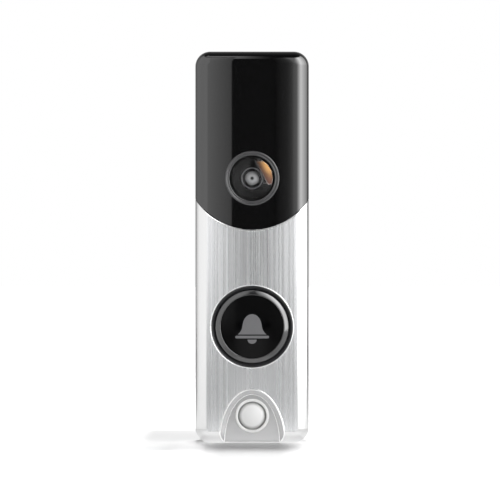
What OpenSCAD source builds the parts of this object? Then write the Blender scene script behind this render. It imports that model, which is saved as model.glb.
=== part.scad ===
// Slim wired video doorbell, standing on its foot with its face towards -Y.
// Depths are measured from the flat front face, towards the wall.

/* [Body] */
// Width of the body
body_w = 38; // [36:0.5:44]
// Height of the body
body_h = 131; // [129:1:145]
// Depth from the flat front face to the back of the rear housing
body_d = 18.2; // [18:0.2:24]
// Radius of the outline's corners
corner_r = 5; // [4.6:0.1:7]
// Rounding of the front edge
front_round = 4.2; // [3:0.1:4.8]
// Rounding of the back edge
back_round = 0.7; // [0.4:0.1:1.4]
// Wall of the covers and the rear housing
wall = 1.8; // [1.5:0.1:2.2]
// Depth of the front cover and the camera window
cover_d = 11.4; // [11:0.1:12.6]

/* [Seam between the silver and the black cover] */
// Radius of the seam's arc
seam_r = 23; // [21:0.5:30]
// Distance of the seam's lowest point from the top of the body
seam_drop = 59.4; // [56:0.2:61]
// Gap between the two covers
seam_gap = 0.15; // [0.1:0.05:0.3]
// Reach of the black cover's tongue behind the silver one
tongue_reach = 2; // [1:0.5:3]
// Thickness of that tongue
tongue_t = 1.1; // [0.8:0.1:1.5]

/* [Camera] */
// Distance of the lens from the top of the body
camera_drop = 42.5; // [40:0.5:44]
// Outer radius of the camera bezel
camera_bezel_r = 9.1; // [8.8:0.1:10]
// How far the bezel stands out of the face
camera_bezel_proud = 0.5; // [0.3:0.1:1]
// Radius of the clear dome
dome_r = 7.5; // [7:0.1:7.6]
// Height of the dome from its rim to its crown
dome_rise = 2; // [1.4:0.1:2.4]
// How far the dome's crown stands out of the face
dome_proud = 1.4; // [1:0.1:1.6]
// Wall of the dome
dome_wall = 1; // [0.8:0.1:1.2]
// Radius of the lens barrel
lens_r = 3.6; // [3.3:0.1:4]
// Radius of the front glass
glass_r = 2.45; // [2.2:0.05:2.6]
// Length of the lens barrel
lens_len = 4.8; // [4.2:0.1:5.4]

/* [Button] */
// Height of the button's centre
button_z = 39; // [38.5:0.5:42]
// Radius of the moving button, over its light ring
button_r = 12.2; // [11.5:0.1:12.6]
// Radius of the dark face inside the light ring
face_r = 10.5; // [10:0.1:10.8]
// How far the light ring's bead stands out of the face
bead_proud = 0.8; // [0.5:0.1:1.1]
// Gap between the button and its bezel
button_gap = 0.2; // [0.15:0.05:0.3]
// Width of the bezel round the button
bezel_w = 1.2; // [1:0.1:1.4]
// Travel of the button
button_travel = 0.6; // [0.4:0.1:0.8]

/* [Motion sensor] */
// Height of the motion lens above the foot
pir_z = 9.2; // [9:0.1:9.8]
// Radius of the motion lens
pir_r = 4.4; // [4:0.1:4.6]
// Radius of the ring round the lens
pir_ring_r = 5.7; // [5.6:0.1:6]
// Width of the arch recess at the foot
arch_w = 22; // [20:0.5:24]
// Height of the arch recess
arch_h = 18.1; // [17:0.1:19]
// Depth of the arch recess
arch_d = 2.2; // [1.8:0.1:2.6]
// Width of the recess's sloping side
arch_slope = 1.8; // [1.4:0.1:2.1]

/* [Boards] */
// Thickness of the main board
board_t = 1.2; // [1:0.1:1.6]
// Space between the main board and the rear housing's floor
rear_space = 5; // [4.8:0.1:5.2]
// Thickness of the camera board
camera_board_t = 0.8; // [0.6:0.1:1]
// Height of the switch body
switch_h = 3.5; // [3:0.1:4]

/* [Fasteners] */
// Shank radius of the screws that hold the covers
cover_screw_r = 1; // [0.9:0.05:1.2]
// Shank radius of the screws that hold the boards
board_screw_r = 0.85; // [0.7:0.05:1]
// Shank radius of the terminal screws
terminal_screw_r = 1.25; // [1.1:0.05:1.4]
// Shank radius of the security screw
security_screw_r = 1.25; // [1.1:0.05:1.3]

/* [Terminals] */
// Width of the wire pocket in the back
pocket_w = 21; // [19:0.5:22]
// Height of the wire pocket
pocket_h = 20.5; // [18:0.5:21]
// Depth of the wire pocket
pocket_d = 3.2; // [3:0.1:3.3]
// Distance between the two terminals
terminal_pitch = 12; // [11:0.5:13]

/* [Wall bracket] */
// Thickness of the bracket's plate
bracket_t = 3; // [2.6:0.1:4]
// How far the plate lies inside the body's outline
bracket_inset = 1.2; // [0.8:0.1:2]
// Distance between the two wall screws
wall_hole_pitch = 78; // [70:1:80]
// Radius of the wall screw holes
wall_hole_r = 2.1; // [1.8:0.1:2.5]
// Radius of the countersinks
wall_sink_r = 4; // [3.5:0.1:4.4]
// Lift that frees the unit from the bracket's hooks
hook_lift = 4; // [3:0.5:4]

/* [Fits] */
// Gap round a piece that is set into another
fit = 0.1; // [0.05:0.01:0.15]
// Gap round a screw's or a plunger's shank
shank_fit = 0.05; // [0.03:0.01:0.08]

/* [Hidden] */
$fn = 96;
eps = 0.1;

silver = [0.80, 0.80, 0.79];
gloss_black = [0.05, 0.05, 0.06];
matt_black = [0.11, 0.11, 0.12];
smoke = [0.25, 0.25, 0.27];
steel = [0.62, 0.63, 0.65];
brass = [0.80, 0.65, 0.35];
rubber = [0.17, 0.17, 0.18];
board_green = [0.08, 0.30, 0.18];
milk = [0.93, 0.93, 0.91];

// Edges of the body
half_w = body_w / 2;
front_f = min(front_round, corner_r - 0.2);
front_y = max(dome_proud, bead_proud) - (max(dome_proud, bead_proud) + body_d + bracket_t) / 2;
seam_z = body_h - seam_drop + seam_r;
seam_gasket_t = 0.6;
shoulder_t = 0.9;
housing_front = cover_d + seam_gasket_t;
floor_d = body_d - wall;
lip_t = 1.2;
lip_reach = 2;
lip_inset = wall + fit;

// Main board, held a named space above the rear housing's floor
board_back = floor_d - rear_space;
board_front = board_back - board_t;
board_edge = lip_inset + lip_t + 1;
board_w = body_w - 2 * board_edge;
board_top = body_h - board_edge;

// Cover screws and the bosses that they run in
boss_r = 2.3;
boss_x = half_w - wall - 3.9;
tongue_w = 2 * boss_x - 2;
tongue_h = 20;
boss_end = board_back + 0.5;
boss_gap = 1;
column_r = 2.9;
sink_r = 2.1;
cover_head_r = 1.9;
cover_head_t = 1.6;
cover_head_seat = boss_end + 2.7;
cover_screw_len = 9;
camera_z = body_h - camera_drop;
window_boss_z = [body_h - 13];

// Board screws and their stand-offs
standoff_r = 2.2;
standoff_x = board_w / 2 - 2.8;
standoff_drop = 23.5;
standoff_low = 12.5;
standoff_high = 17.5;
standoff_z = [button_z - standoff_drop, camera_z - standoff_low, camera_z + standoff_high];
board_corner = 1.5;
board_head_r = 1.8;
board_head_t = 1;
board_screw_len = 3.6;

// Camera
bezel_sleeve_r = camera_bezel_r - 0.6;
dome_rim = dome_rise - dome_proud;
dome_sphere = (dome_r * dome_r + dome_rise * dome_rise) / (2 * dome_rise);
dome_flange = 1;
dome_seat = dome_rim + 1.25;
dome_back = dome_seat + dome_flange;
dome_flange_r = dome_r + 0.4;
baffle_t = 0.6;
lens_face = 1.2;
lens_back = lens_face + lens_len;
glass_t = 0.9;
camera_board_gap = 0.6;
camera_board_back = board_front - camera_board_gap;
camera_board_front = camera_board_back - camera_board_t;
camera_board_w = 26;
camera_board_low = 8;
camera_board_high = 10.2;
camera_post_r = 1.7;
camera_post_x = 10.8;
camera_post_z = 6;
holder_w = 10;
holder_wall = 1;
sensor_w = 6.5;
sensor_t = 0.9;
connector_t = 1;
connector_w = 9;
connector_h = 2.8;
camera_connector_z = camera_z + 6.6;
board_connector_z = camera_z + 14;
ribbon_w = 7;
ribbon_t = 0.2;

// Button
bezel_in = button_r + button_gap;
bezel_out = bezel_in + bezel_w;
bezel_hole = bezel_out + fit;
bezel_flange = bezel_out + 2;
bezel_back = wall + 1.4;
// bevel that keeps the flange clear of the cover's rounded inside
cavity_round = max(front_f - wall, 0.4);
flange_reach = max(0, bezel_flange - (half_w - wall - cavity_round));
flange_bevel = cavity_round - sqrt(max(0, pow(cavity_round, 2) - pow(flange_reach, 2)));
ring_flange_t = 0.8;
ring_flange_r = button_r + 1.1;
ring_flange_front = bezel_back + fit;
ring_back = ring_flange_front + ring_flange_t;
ring_ledge = ring_flange_front - 0.5;
retainer_front = ring_back + button_travel + fit;
retainer_t = 1;
ear_r = 1.9;
ear_pitch = bezel_flange + ear_r + 0.2;
cover_boss_z = [
    button_z - 17,
    button_z + sqrt(pow(bezel_flange + boss_r + boss_gap, 2) - pow(boss_x, 2))
];
ring_fall = 0.7;
ring_crown_r = face_r + 0.3;
face_drop = 0.45;
face_front = face_drop - bead_proud;
face_t = 1.4;
stem_r = 1.7;
plunger_r = 1.75;
plunger_proud = button_travel + fit;
switch_front = board_front - switch_h;
plunger_front = switch_front - plunger_proud;
switch_w = 6.2;
guide_in = face_r - 0.1;
guide_out = button_r - 0.4;
guide_front = retainer_front + 0.2;
guide_back = board_front - 0.9;
led_ring = (guide_in + guide_out) / 2;

// Motion sensor
arch_floor = arch_d + 1.5;
pir_bore = pir_r + fit;
pir_sleeve_r = pir_ring_r - 0.4;
pir_flange_r = pir_sleeve_r - 0.45;
pir_seat = arch_d + 0.8;
pir_proud = 0.8;
pir_rise = 1.3;
pir_sphere = (pir_r * pir_r + pir_rise * pir_rise) / (2 * pir_rise);
pir_wall = 0.6;
can_r = 4.1;
can_h = 4;

// Rear housing: wire pocket, hook pockets and the security notch
pocket_z = button_z + 14.5;
pocket_floor = body_d - pocket_d;
pocket_wall = 1.2;
terminal_z = pocket_z + 5.5;
terminal_plate_w = 7;
terminal_plate_t = 0.8;
terminal_head_r = 2.8;
terminal_head_t = 1.6;
post_r = 2.4;
hook_w = 6;
hook_x = 7;
hook_z = body_h - 17;
hook_t = 1.6;
hook_neck = 2;
hook_reach = hook_lift + 1.5;
hook_gap = 0.2;
slot_low = hook_z - hook_lift - 0.5;
slot_high = hook_z + hook_neck + hook_gap;
notch_low = 3.2;
lug_w = 8;
lug_low = notch_low + hook_lift + 0.8;
lug_h = 5;
lug_d = 4.8;
lug_gap = 0.3;
insert_r = security_screw_r + 0.45;
security_y = body_d - lug_d / 2;
security_head_r = 1.8;
security_head_z = 0.5;
security_head_t = 1.5;
pocket_skin = 0.9;
notch_top = lug_low + lug_h + lug_gap + pocket_skin;
bracket_rim = 1.8;
bracket_core = 1.4;
bracket_rib = 1.2;

// Speaker
speaker_w = 20;
speaker_h = 16;
speaker_t = 4.4;
speaker_x = -1.5;
speaker_z = button_z - 3;
speaker_wall = 0.8;
duct_wall = 0.5;
speaker_front = floor_d - speaker_t;
gasket_t = 0.6;
duct_h = 13;
duct_t = 2.4;
duct_front = floor_d - duct_t;
duct_end = half_w - wall - gasket_t;
slot_pitch = 2.4;
slot_h = 1.2;
driver_r = 6.8;
cone_r = 5.8;
dust_cap_r = 2.4;

// Electronics above the button: shield can, processor and radio module
can_w = 11.5;
can_l = 8;
can_t = 2.2;
can_wall = 0.3;
chip_w = 7;
chip_t = 1.1;
radio_w = 8.2;
radio_gap = 0.7;
module_w = can_w + radio_gap + radio_w;
can_x = (can_w - module_w) / 2;
radio_x = (module_w - radio_w) / 2;
module_z = button_z + ear_pitch + ear_r + 0.3 + can_l / 2;

// Power parts at the foot of the main board
inductor_w = 8;
inductor_t = 3.8;
inductor_bore = 2.2;
capacitor_w = 4.8;
capacitor_t = 4.4;
capacitor_base = 0.6;
power_z = notch_top + 1 + inductor_w / 2;
power_gap = 0.4;
power_w = inductor_w + 2 * capacitor_w + 2 * power_gap;
inductor_x = (inductor_w - power_w) / 2;
capacitor_x = [for (i = [0, 1]) (power_w - capacitor_w) / 2 - i * (capacitor_w + power_gap)];

// Backup cell, between the wire pocket and the hook pockets
cell_w = 19;
cell_len = 18;
cell_t = 4.2;
cell_z = pocket_z + pocket_h + pocket_wall + 1;

// Lamps, light sensor and aerial behind the window
lamp_w = 3.2;
lamp_base = 0.9;
lamp_dome = 1.3;
lamp_x = 4;
lamp_z = [body_h - 19, body_h - 13];
light_sensor_w = 2.4;
light_sensor_x = 8.4;
light_sensor_z = body_h - 18.5;
antenna_w = 18;
antenna_h = 5;
antenna_rise = 3.4;
antenna_t = 0.4;
antenna_z = board_top - 4;

// Microphone and the tube through its gasket
mic_w = 3;
mic_h = 4;
mic_t = 1.1;
mic_x = boss_x - 2.3;
mic_z = board_edge + 3;
mic_hole_r = 0.5;
mic_seal_w = 3.4;
mic_seal_t = 1.5;
mic_depth = board_front - mic_t - mic_seal_t / 2;

// Box centred on x and z, between two depths
module block(x, z, w, h, d1, d2) {
    translate([x - w / 2, front_y + d1, z - h / 2]) cube([w, d2 - d1, h]);
}

// Round bar square to the face, between two depths
module bar(x, z, r, d1, d2) {
    translate([x, front_y + d1, z]) rotate([-90, 0, 0]) cylinder(r = r, h = d2 - d1);
}

// Cone square to the face, between two depths
module cone(x, z, r1, r2, d1, d2) {
    translate([x, front_y + d1, z]) rotate([-90, 0, 0]) cylinder(r1 = r1, r2 = r2, h = d2 - d1);
}

// Turned piece: its profile is drawn as radius against depth
module turned(x, z) {
    translate([x, front_y, z]) rotate([-90, 0, 0]) rotate_extrude() children();
}

// Flat piece: its outline is drawn as width against height
module flat(d1, d2) {
    translate([0, front_y + d2, 0]) rotate([90, 0, 0]) linear_extrude(d2 - d1) children();
}

// Rectangle of a profile, from one radius to another and between two depths
module strip(r1, r2, d1, d2) {
    translate([r1, d1]) square([r2 - r1, d2 - d1]);
}

// Profile of a rounded ring: its arc falls to the outer edge from a crown, which lies halfway or at a
// radius of its own, and it is filled to a base
module bead(r1, r2, crown, edge, base, crown_r = undef) {
    at = is_undef(crown_r) ? (r1 + r2) / 2 : crown_r;
    half = r2 - at;
    r = (half * half + (edge - crown) * (edge - crown)) / (2 * (edge - crown));
    strip(r1, r2, edge, base);
    intersection() {
        translate([at, crown + r]) circle(r);
        strip(r1, r2, crown - 1, edge);
    }
}

// Rectangle standing on z = low, with rounded corners
module round_rect(w, low, high, r) {
    translate([-w / 2 + r, low]) square([w - 2 * r, high - low]);
    translate([-w / 2, low + r]) square([w, high - low - 2 * r]);
    for (x = [r - w / 2, w / 2 - r], z = [low + r, high - r]) translate([x, z]) circle(r);
}

// The body's outline, drawn in by an inset
module outline(inset) {
    round_rect(body_w - 2 * inset, inset, body_h - inset, corner_r - inset);
}

// One edge of the slab: r wide and d deep, with its front corner rounded by f
module edge_profile(r, d, f) {
    translate([0, f]) square([r, d - f]);
    square([r - f, f]);
    intersection() {
        translate([r - f, f]) circle(f);
        square([r, f]);
    }
}

// Slab with rounded upright corners and a rounded front edge
module slab(inset, d1, d2, f) {
    w = body_w - 2 * inset;
    low = inset;
    high = body_h - inset;
    r = corner_r - inset;
    d = d2 - d1;
    reach = w / 2 - r;
    translate([0, front_y + d1, 0]) {
        translate([-reach, 0, low + r]) cube([2 * reach, d, high - low - 2 * r]);
        for (side = [0, 1]) mirror([side, 0, 0]) {
            translate([reach, 0, low + r]) linear_extrude(high - low - 2 * r) edge_profile(r, d, f);
            for (top = [0, 1]) translate([reach, 0, top ? high - r : low + r]) mirror([0, 0, top])
                rotate([-90, 0, 0]) rotate_extrude(angle = 90) edge_profile(r, d, f);
        }
        for (top = [0, 1]) translate([reach, 0, top ? high - r : low + r]) mirror([0, 0, 1 - top])
            rotate([0, -90, 0]) linear_extrude(2 * reach) edge_profile(r, d, f);
    }
}

// Hollow front of the body, before it is split along the seam
module front_shell() {
    difference() {
        slab(0, 0, cover_d, front_f);
        slab(wall, wall, cover_d + eps, max(front_f - wall, 0.4));
    }
}

// Everything above the seam's arc, widened by a gap
module above_seam(gap) {
    flat(-1, cover_d + 1) {
        translate([0, seam_z]) circle(seam_r + gap);
        translate([-half_w - 1, seam_z]) square([body_w + 2, body_h]);
    }
}

// Half ellipse of the recess at the foot, grown by an offset, with sloping sides
module arch(grow, d1, d2) {
    hull() for (end = [d1, d2]) {
        in = arch_slope * end / arch_d - grow;
        flat(end, end + 0.01) scale([(arch_w / 2 - in) / (arch_h - in), 1])
            circle(arch_h - in, $fn = 80);
    }
}

// Bosses on a cover for the screws that come from behind
module bosses(heights) {
    for (side = [-1, 1], z = heights) difference() {
        bar(side * boss_x, z, boss_r, wall - eps, boss_end - fit);
        bar(side * boss_x, z, cover_screw_r + shank_fit, boss_end - cover_screw_len + 2, boss_end);
    }
}

module front_cover() color(silver) {
    difference() {
        union() {
            difference() {
                front_shell();
                above_seam(seam_gap);
            }
            intersection() {
                slab(0, 0, cover_d, front_f);
                arch(1.4 + arch_slope, wall - eps, arch_floor);
            }
            for (side = [-1, 1])
                bar(0, button_z + side * ear_pitch, ear_r, wall - eps, retainer_front);
        }
        for (side = [-1, 1]) bar(0, button_z + side * ear_pitch, board_screw_r + shank_fit,
            retainer_front + retainer_t - board_screw_len - fit, retainer_front + eps);
        arch(0, -0.5, arch_d);
        bar(0, pir_z, pir_sleeve_r + fit, arch_d - 1, arch_floor + 1);
        bar(0, button_z, bezel_hole, -1, wall + 1);
        // bevelled lips of the button's hole and of the seam
        cone(0, button_z, bezel_hole + 0.5, bezel_hole, -0.2, 0.3);
        cone(0, seam_z, seam_r + seam_gap + 0.5, seam_r + seam_gap, -0.2, 0.3);
        // sound hole of the microphone
        translate([mic_x, front_y + mic_depth, -1]) cylinder(r = mic_hole_r, h = wall + 2);
        security_sink();
    }
    bosses(cover_boss_z);
}

// Hole for the security screw's head, through all that it passes
module security_sink() {
    translate([0, front_y + security_y, -1])
        cylinder(r = security_head_r + fit, h = security_head_z + security_head_t + 1);
}

module camera_window() color(gloss_black) {
    difference() {
        union() {
            intersection() {
                front_shell();
                above_seam(0);
            }
            // tongue behind the silver cover's edge
            intersection() {
                union() {
                    flat(wall + fit, wall + tongue_t) tongue_ring(seam_r + tongue_reach);
                    flat(wall - eps, wall + tongue_t) tongue_ring(seam_r - fit);
                }
                block(0, seam_z - seam_r, tongue_w, tongue_h, 0, cover_d);
            }
            for (x = [-1, 1], z = [-1, 1]) difference() {
                bar(x * camera_post_x, camera_z + z * camera_post_z, camera_post_r, wall - eps,
                    camera_board_front);
                bar(x * camera_post_x, camera_z + z * camera_post_z, board_screw_r + shank_fit,
                    camera_board_back - board_screw_len - fit, camera_board_front + eps);
            }
        }
        bar(0, camera_z, bezel_sleeve_r + fit, -1, wall + 1);
        // room for the button retainer's upper ear
        bar(0, button_z + ear_pitch, ear_r + fit, wall - 2 * eps, retainer_front);
    }
    bosses(window_boss_z);
}

// Ring of the tongue, up to an outer radius about the seam's centre
module tongue_ring(r) {
    translate([0, seam_z]) difference() {
        circle(r);
        circle(seam_r - 1.5);
    }
}

module camera_bezel() color(smoke) turned(0, camera_z) difference() {
    union() {
        bead(dome_r + fit, camera_bezel_r, -camera_bezel_proud, -camera_bezel_proud / 2, 0);
        strip(dome_r + fit, bezel_sleeve_r, -eps, dome_back + baffle_t + 0.2);
    }
    strip(0, dome_flange_r + shank_fit, dome_seat, dome_back + 5);
}

module camera_dome() color([0.75, 0.78, 0.80, 0.35]) turned(0, camera_z) difference() {
    union() {
        intersection() {
            translate([0, dome_sphere - dome_proud]) circle(dome_sphere);
            strip(0, dome_r, -dome_proud - 1, dome_back);
        }
        strip(0, dome_flange_r, dome_seat, dome_back);
    }
    intersection() {
        translate([0, dome_sphere - dome_proud]) circle(dome_sphere - dome_wall);
        strip(0, dome_r - 0.9, -dome_proud, dome_back + 1);
    }
}

module camera_baffle() color(matt_black) turned(0, camera_z) {
    strip(lens_r + fit, dome_flange_r, dome_back, dome_back + baffle_t);
    strip(lens_r + fit, lens_r + 0.8, lens_face + 0.5, dome_back + eps);
}

module lens_barrel() color(matt_black) turned(0, camera_z) difference() {
    union() {
        strip(0, lens_r, lens_face + 0.3, lens_back);
        strip(0, lens_r - 0.3, lens_face, lens_face + 0.3 + eps);
    }
    strip(0, glass_r + shank_fit, lens_face - 1, lens_face + glass_t);
    strip(0, glass_r - 0.4, lens_face, lens_back + 1);
}

module lens_front() color([0.55, 0.60, 0.62]) turned(0, camera_z) {
    strip(0, glass_r, lens_face + 0.3, lens_face + glass_t);
    intersection() {
        translate([0, lens_face + 4.2]) circle(4.6);
        strip(0, glass_r, lens_face - 1, lens_face + 0.3 + eps);
    }
}

module inner_lenses() color([0.55, 0.60, 0.62]) for (d = [1.8, 3.6])
    turned(0, camera_z) strip(0, glass_r - 0.4 - shank_fit, lens_face + d, lens_face + d + 0.8);

module lens_holder() color(matt_black) difference() {
    union() {
        bar(0, camera_z, lens_r + 1.2, dome_back + baffle_t + fit, lens_back);
        block(0, camera_z, holder_w, holder_w, lens_back - holder_wall, camera_board_front);
    }
    bar(0, camera_z, lens_r + shank_fit, 0, lens_back + eps);
    block(0, camera_z, holder_w - 2 * holder_wall, holder_w - 2 * holder_wall, lens_back,
        camera_board_front + 1);
}

module image_sensor() color([0.20, 0.22, 0.30])
    block(0, camera_z, sensor_w, sensor_w, camera_board_front - sensor_t, camera_board_front);

module camera_board() color(board_green) difference() {
    flat(camera_board_front, camera_board_back)
        round_rect(camera_board_w, camera_z - camera_board_low, camera_z + camera_board_high, board_corner);
    for (x = [-1, 1], z = [-1, 1])
        bar(x * camera_post_x, camera_z + z * camera_post_z, board_screw_r + fit, 0, body_d);
}

// Pan-head screw driven towards the front from a seat
module screw(x, z, seat, len, r, head_r, head_t) {
    bar(x, z, r, seat - len, seat + eps);
    difference() {
        bar(x, z, head_r, seat, seat + head_t);
        for (turn = [0, 90]) translate([x, front_y + seat + head_t, z]) rotate([0, turn, 0])
            cube([head_r * 1.2, head_t, r * 0.5], center = true);
    }
}

// Pan-head screw driven towards the back from a seat
module front_screw(x, z, seat, len, r, head_r, head_t) {
    translate([x, front_y + seat, z]) rotate([0, 0, 180]) translate([0, -front_y, 0])
        screw(0, 0, 0, len, r, head_r, head_t);
}

module camera_screws() color(steel) for (x = [-1, 1], z = [-1, 1])
    screw(x * camera_post_x, camera_z + z * camera_post_z, camera_board_back, board_screw_len,
        board_screw_r, board_head_r, camera_board_gap - fit);

module ribbon_connectors() color([0.85, 0.83, 0.75]) {
    block(0, camera_connector_z + connector_h / 2, connector_w, connector_h,
        camera_board_front - connector_t, camera_board_front);
    block(0, board_connector_z + connector_h / 2, connector_w, connector_h,
        board_front - connector_t, board_front);
}

module camera_ribbon() color([0.75, 0.45, 0.15]) {
    d1 = camera_board_front - connector_t / 2;
    d2 = board_front - connector_t / 2;
    z1 = camera_connector_z + connector_h;
    z2 = board_connector_z;
    // side view of the strip, as depth against height
    translate([-ribbon_w / 2, front_y, 0]) rotate([90, 0, 90]) linear_extrude(ribbon_w) polygon([
        [d1, z1], [d1, z1 + 1.7], [d2, z2 - 1.3], [d2, z2],
        [d2 + ribbon_t, z2], [d2 + ribbon_t, z2 - 1.4], [d1 + ribbon_t, z1 + 1.6], [d1 + ribbon_t, z1]
    ]);
}

module ir_leds() color([0.55, 0.52, 0.55]) for (side = [-1, 1], z = lamp_z) {
    block(side * lamp_x, z, lamp_w, lamp_w, board_front - lamp_base, board_front);
    turned(side * lamp_x, z) intersection() {
        translate([0, board_front - lamp_base]) circle(lamp_dome);
        strip(0, lamp_dome, board_front - lamp_base - lamp_dome - eps, board_front - lamp_base / 2);
    }
}

module light_sensor() color([0.80, 0.80, 0.70])
    block(light_sensor_x, light_sensor_z, light_sensor_w, light_sensor_w, board_front - 0.8, board_front);

// Bent-metal aerial: a plate held off the board by two legs
module antenna() color(brass) {
    leg_x = (0.8 - antenna_w) / 2;
    block(0, antenna_z, antenna_w, antenna_h, board_front - antenna_rise,
        board_front - antenna_rise + antenna_t);
    for (x = [leg_x, leg_x + 3.8]) block(x, antenna_z + (antenna_t - antenna_h) / 2, 0.8, antenna_t,
        board_front - antenna_rise + antenna_t / 2, board_front);
}

module main_board() color(board_green) difference() {
    flat(board_front, board_back) round_rect(board_w, board_edge, board_top, board_corner);
    for (side = [-1, 1]) {
        for (z = standoff_z) bar(side * standoff_x, z, board_screw_r + fit, 0, body_d);
        for (z = concat(cover_boss_z, window_boss_z)) bar(side * boss_x, z, boss_r + 0.4, 0, body_d);
    }
}

module board_screws() color(steel) for (side = [-1, 1], z = standoff_z)
    front_screw(side * standoff_x, z, board_front, board_t + board_screw_len,
        board_screw_r, board_head_r, board_head_t);

module shield_can() color(steel) difference() {
    block(can_x, module_z, can_w, can_l, board_front - can_t, board_front);
    block(can_x, module_z, can_w - 2 * can_wall, can_l - 2 * can_wall,
        board_front - can_t + can_wall, board_front + 1);
}

module processor() color(matt_black)
    block(can_x, module_z, chip_w, chip_w, board_front - chip_t, board_front);

module wifi_module() color(steel) {
    block(radio_x, module_z, radio_w, can_l, board_front - 0.8, board_front);
    block(radio_x, module_z - 0.5, radio_w - 1, can_l - 2, board_front - can_t, board_front - 0.7);
}

module power_inductor() color([0.25, 0.25, 0.27]) difference() {
    block(inductor_x, power_z, inductor_w, inductor_w, board_back, board_back + inductor_t);
    bar(inductor_x, power_z, inductor_bore, board_back + inductor_t - 0.3, board_back + inductor_t + 1);
}

module power_capacitors() color([0.70, 0.71, 0.74]) for (x = capacitor_x) {
    block(x, power_z, capacitor_w, capacitor_w, board_back, board_back + capacitor_base);
    bar(x, power_z, capacitor_w / 2 - 0.1, board_back + capacitor_base - eps, board_back + capacitor_t);
}

module backup_cell() color([0.35, 0.45, 0.60]) {
    // flat pouch with round long sides, drawn as width against depth
    r = cell_t / 2;
    translate([0, front_y + floor_d - r, cell_z]) linear_extrude(cell_len) {
        square([cell_w - cell_t, cell_t], center = true);
        for (x = [-1, 1]) translate([x * (cell_w / 2 - r), 0]) circle(r);
    }
}

module speaker_box() color(matt_black) difference() {
    union() {
        block(speaker_x, speaker_z, speaker_w, speaker_h, speaker_front, floor_d);
        // duct that leads to the slots in the side wall
        translate([speaker_x + speaker_w / 2 - eps, front_y + duct_front, speaker_z - duct_h / 2])
            cube([duct_end - speaker_x - speaker_w / 2 + eps, duct_t, duct_h]);
    }
    block(speaker_x, speaker_z, speaker_w - 2 * speaker_wall, speaker_h - 2 * speaker_wall,
        speaker_front + speaker_wall, floor_d - speaker_wall);
    translate([speaker_x + speaker_w / 2 - speaker_wall - eps, front_y + duct_front + duct_wall,
        speaker_z - duct_h / 2 + duct_wall])
        cube([half_w, duct_t - 2 * duct_wall, duct_h - 2 * duct_wall]);
}

module speaker_driver() color([0.40, 0.40, 0.42]) {
    d = speaker_front + speaker_wall;
    bar(speaker_x, speaker_z, driver_r, d, d + 1.2);
    turned(speaker_x, speaker_z) difference() {
        strip(0, driver_r, d + 1.1, d + 1.9);
        strip(dust_cap_r, cone_r, d + 1.5, d + 3);
    }
}

module speaker_gasket() color(rubber) difference() {
    translate([duct_end, front_y + duct_front, speaker_z - duct_h / 2])
        cube([gasket_t, duct_t, duct_h]);
    translate([duct_end - 1, front_y + duct_front + duct_wall, speaker_z - duct_h / 2 + duct_wall])
        cube([gasket_t + 2, duct_t - 2 * duct_wall, duct_h - 2 * duct_wall]);
}

module microphone() color([0.75, 0.72, 0.60])
    block(mic_x, mic_z, mic_w, mic_h, board_front - mic_t, board_front);

// Space of the microphone's gasket, grown by a gap
module mic_seal_space(gap) {
    translate([mic_x - mic_seal_w / 2 - gap, front_y + mic_depth - mic_seal_t / 2 - gap, wall - gap])
        cube([mic_seal_w + 2 * gap, mic_seal_t + 2 * gap, mic_z + 1.5 - wall + 2 * gap]);
}

module microphone_gasket() color(rubber) difference() {
    mic_seal_space(0);
    translate([mic_x, front_y + mic_depth, wall - 1]) cylinder(r = mic_hole_r, h = mic_z + 1 - wall);
    bar(mic_x, mic_z, mic_hole_r, mic_depth, board_front);
}

module button_bezel() color(smoke) turned(0, button_z) {
    difference() {
        union() {
            strip(bezel_in, bezel_out, -0.2, bezel_back);
            strip(bezel_in, bezel_flange, wall, bezel_back);
        }
        polygon([[bezel_flange - flange_reach - fit, wall], [bezel_flange - flange_reach - fit, wall - eps],
            [bezel_flange + eps, wall - eps], [bezel_flange + eps, wall + flange_bevel + fit]]);
        // inward slope of the ring's front
        polygon([[bezel_in - 1, -1], [bezel_out - 0.25, -1], [bezel_out - 0.25, -0.2], [bezel_in, 0.5],
            [bezel_in - 1, 0.5]]);
    }
}

module light_ring() color(smoke) turned(0, button_z) {
    bead(face_r, button_r, -bead_proud, -bead_proud + ring_fall, ring_back, ring_crown_r);
    strip(face_r - 0.9, button_r, ring_ledge, ring_back);
    strip(button_r - eps, ring_flange_r, ring_flange_front, ring_back);
}

module button_cap() color(gloss_black) {
    difference() {
        bar(0, button_z, face_r - shank_fit, face_front, ring_ledge);
        bar(0, button_z, face_r - 1.1, face_front + face_t, ring_ledge + 1);
    }
    bar(0, button_z, stem_r, face_front + face_t - eps, plunger_front - shank_fit);
    for (turn = [0, 90]) translate([0, front_y, button_z]) rotate([0, turn, 0])
        translate([-face_r + 0.6, face_front + face_t - eps, -0.5])
            cube([2 * face_r - 1.2, ring_ledge - face_front - face_t, 1]);
}

module button_seal() color(rubber) turned(0, button_z)
    strip(ring_flange_r + 0.2, bezel_flange, bezel_back, retainer_front);

module button_retainer() color(matt_black) difference() {
    union() {
        bar(0, button_z, bezel_flange, retainer_front, retainer_front + retainer_t);
        block(0, button_z, 2 * ear_r, 2 * ear_pitch, retainer_front, retainer_front + retainer_t);
        for (side = [-1, 1])
            bar(0, button_z + side * ear_pitch, ear_r, retainer_front, retainer_front + retainer_t);
    }
    bar(0, button_z, button_r - 0.2, 0, body_d);
    for (side = [-1, 1]) bar(0, button_z + side * ear_pitch, board_screw_r + fit, 0, body_d);
}

module retainer_screws() color(steel) for (side = [-1, 1])
    screw(0, button_z + side * ear_pitch, retainer_front + retainer_t, board_screw_len, board_screw_r,
        board_head_r, board_head_t);

module light_guide() color([0.85, 0.87, 0.88]) {
    turned(0, button_z) strip(guide_in, guide_out, guide_front, guide_back);
    for (turn = [22.5 : 90 : 359])
        bar(led_ring * cos(turn), button_z + led_ring * sin(turn), 0.6, guide_back - eps, board_front);
}

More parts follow.
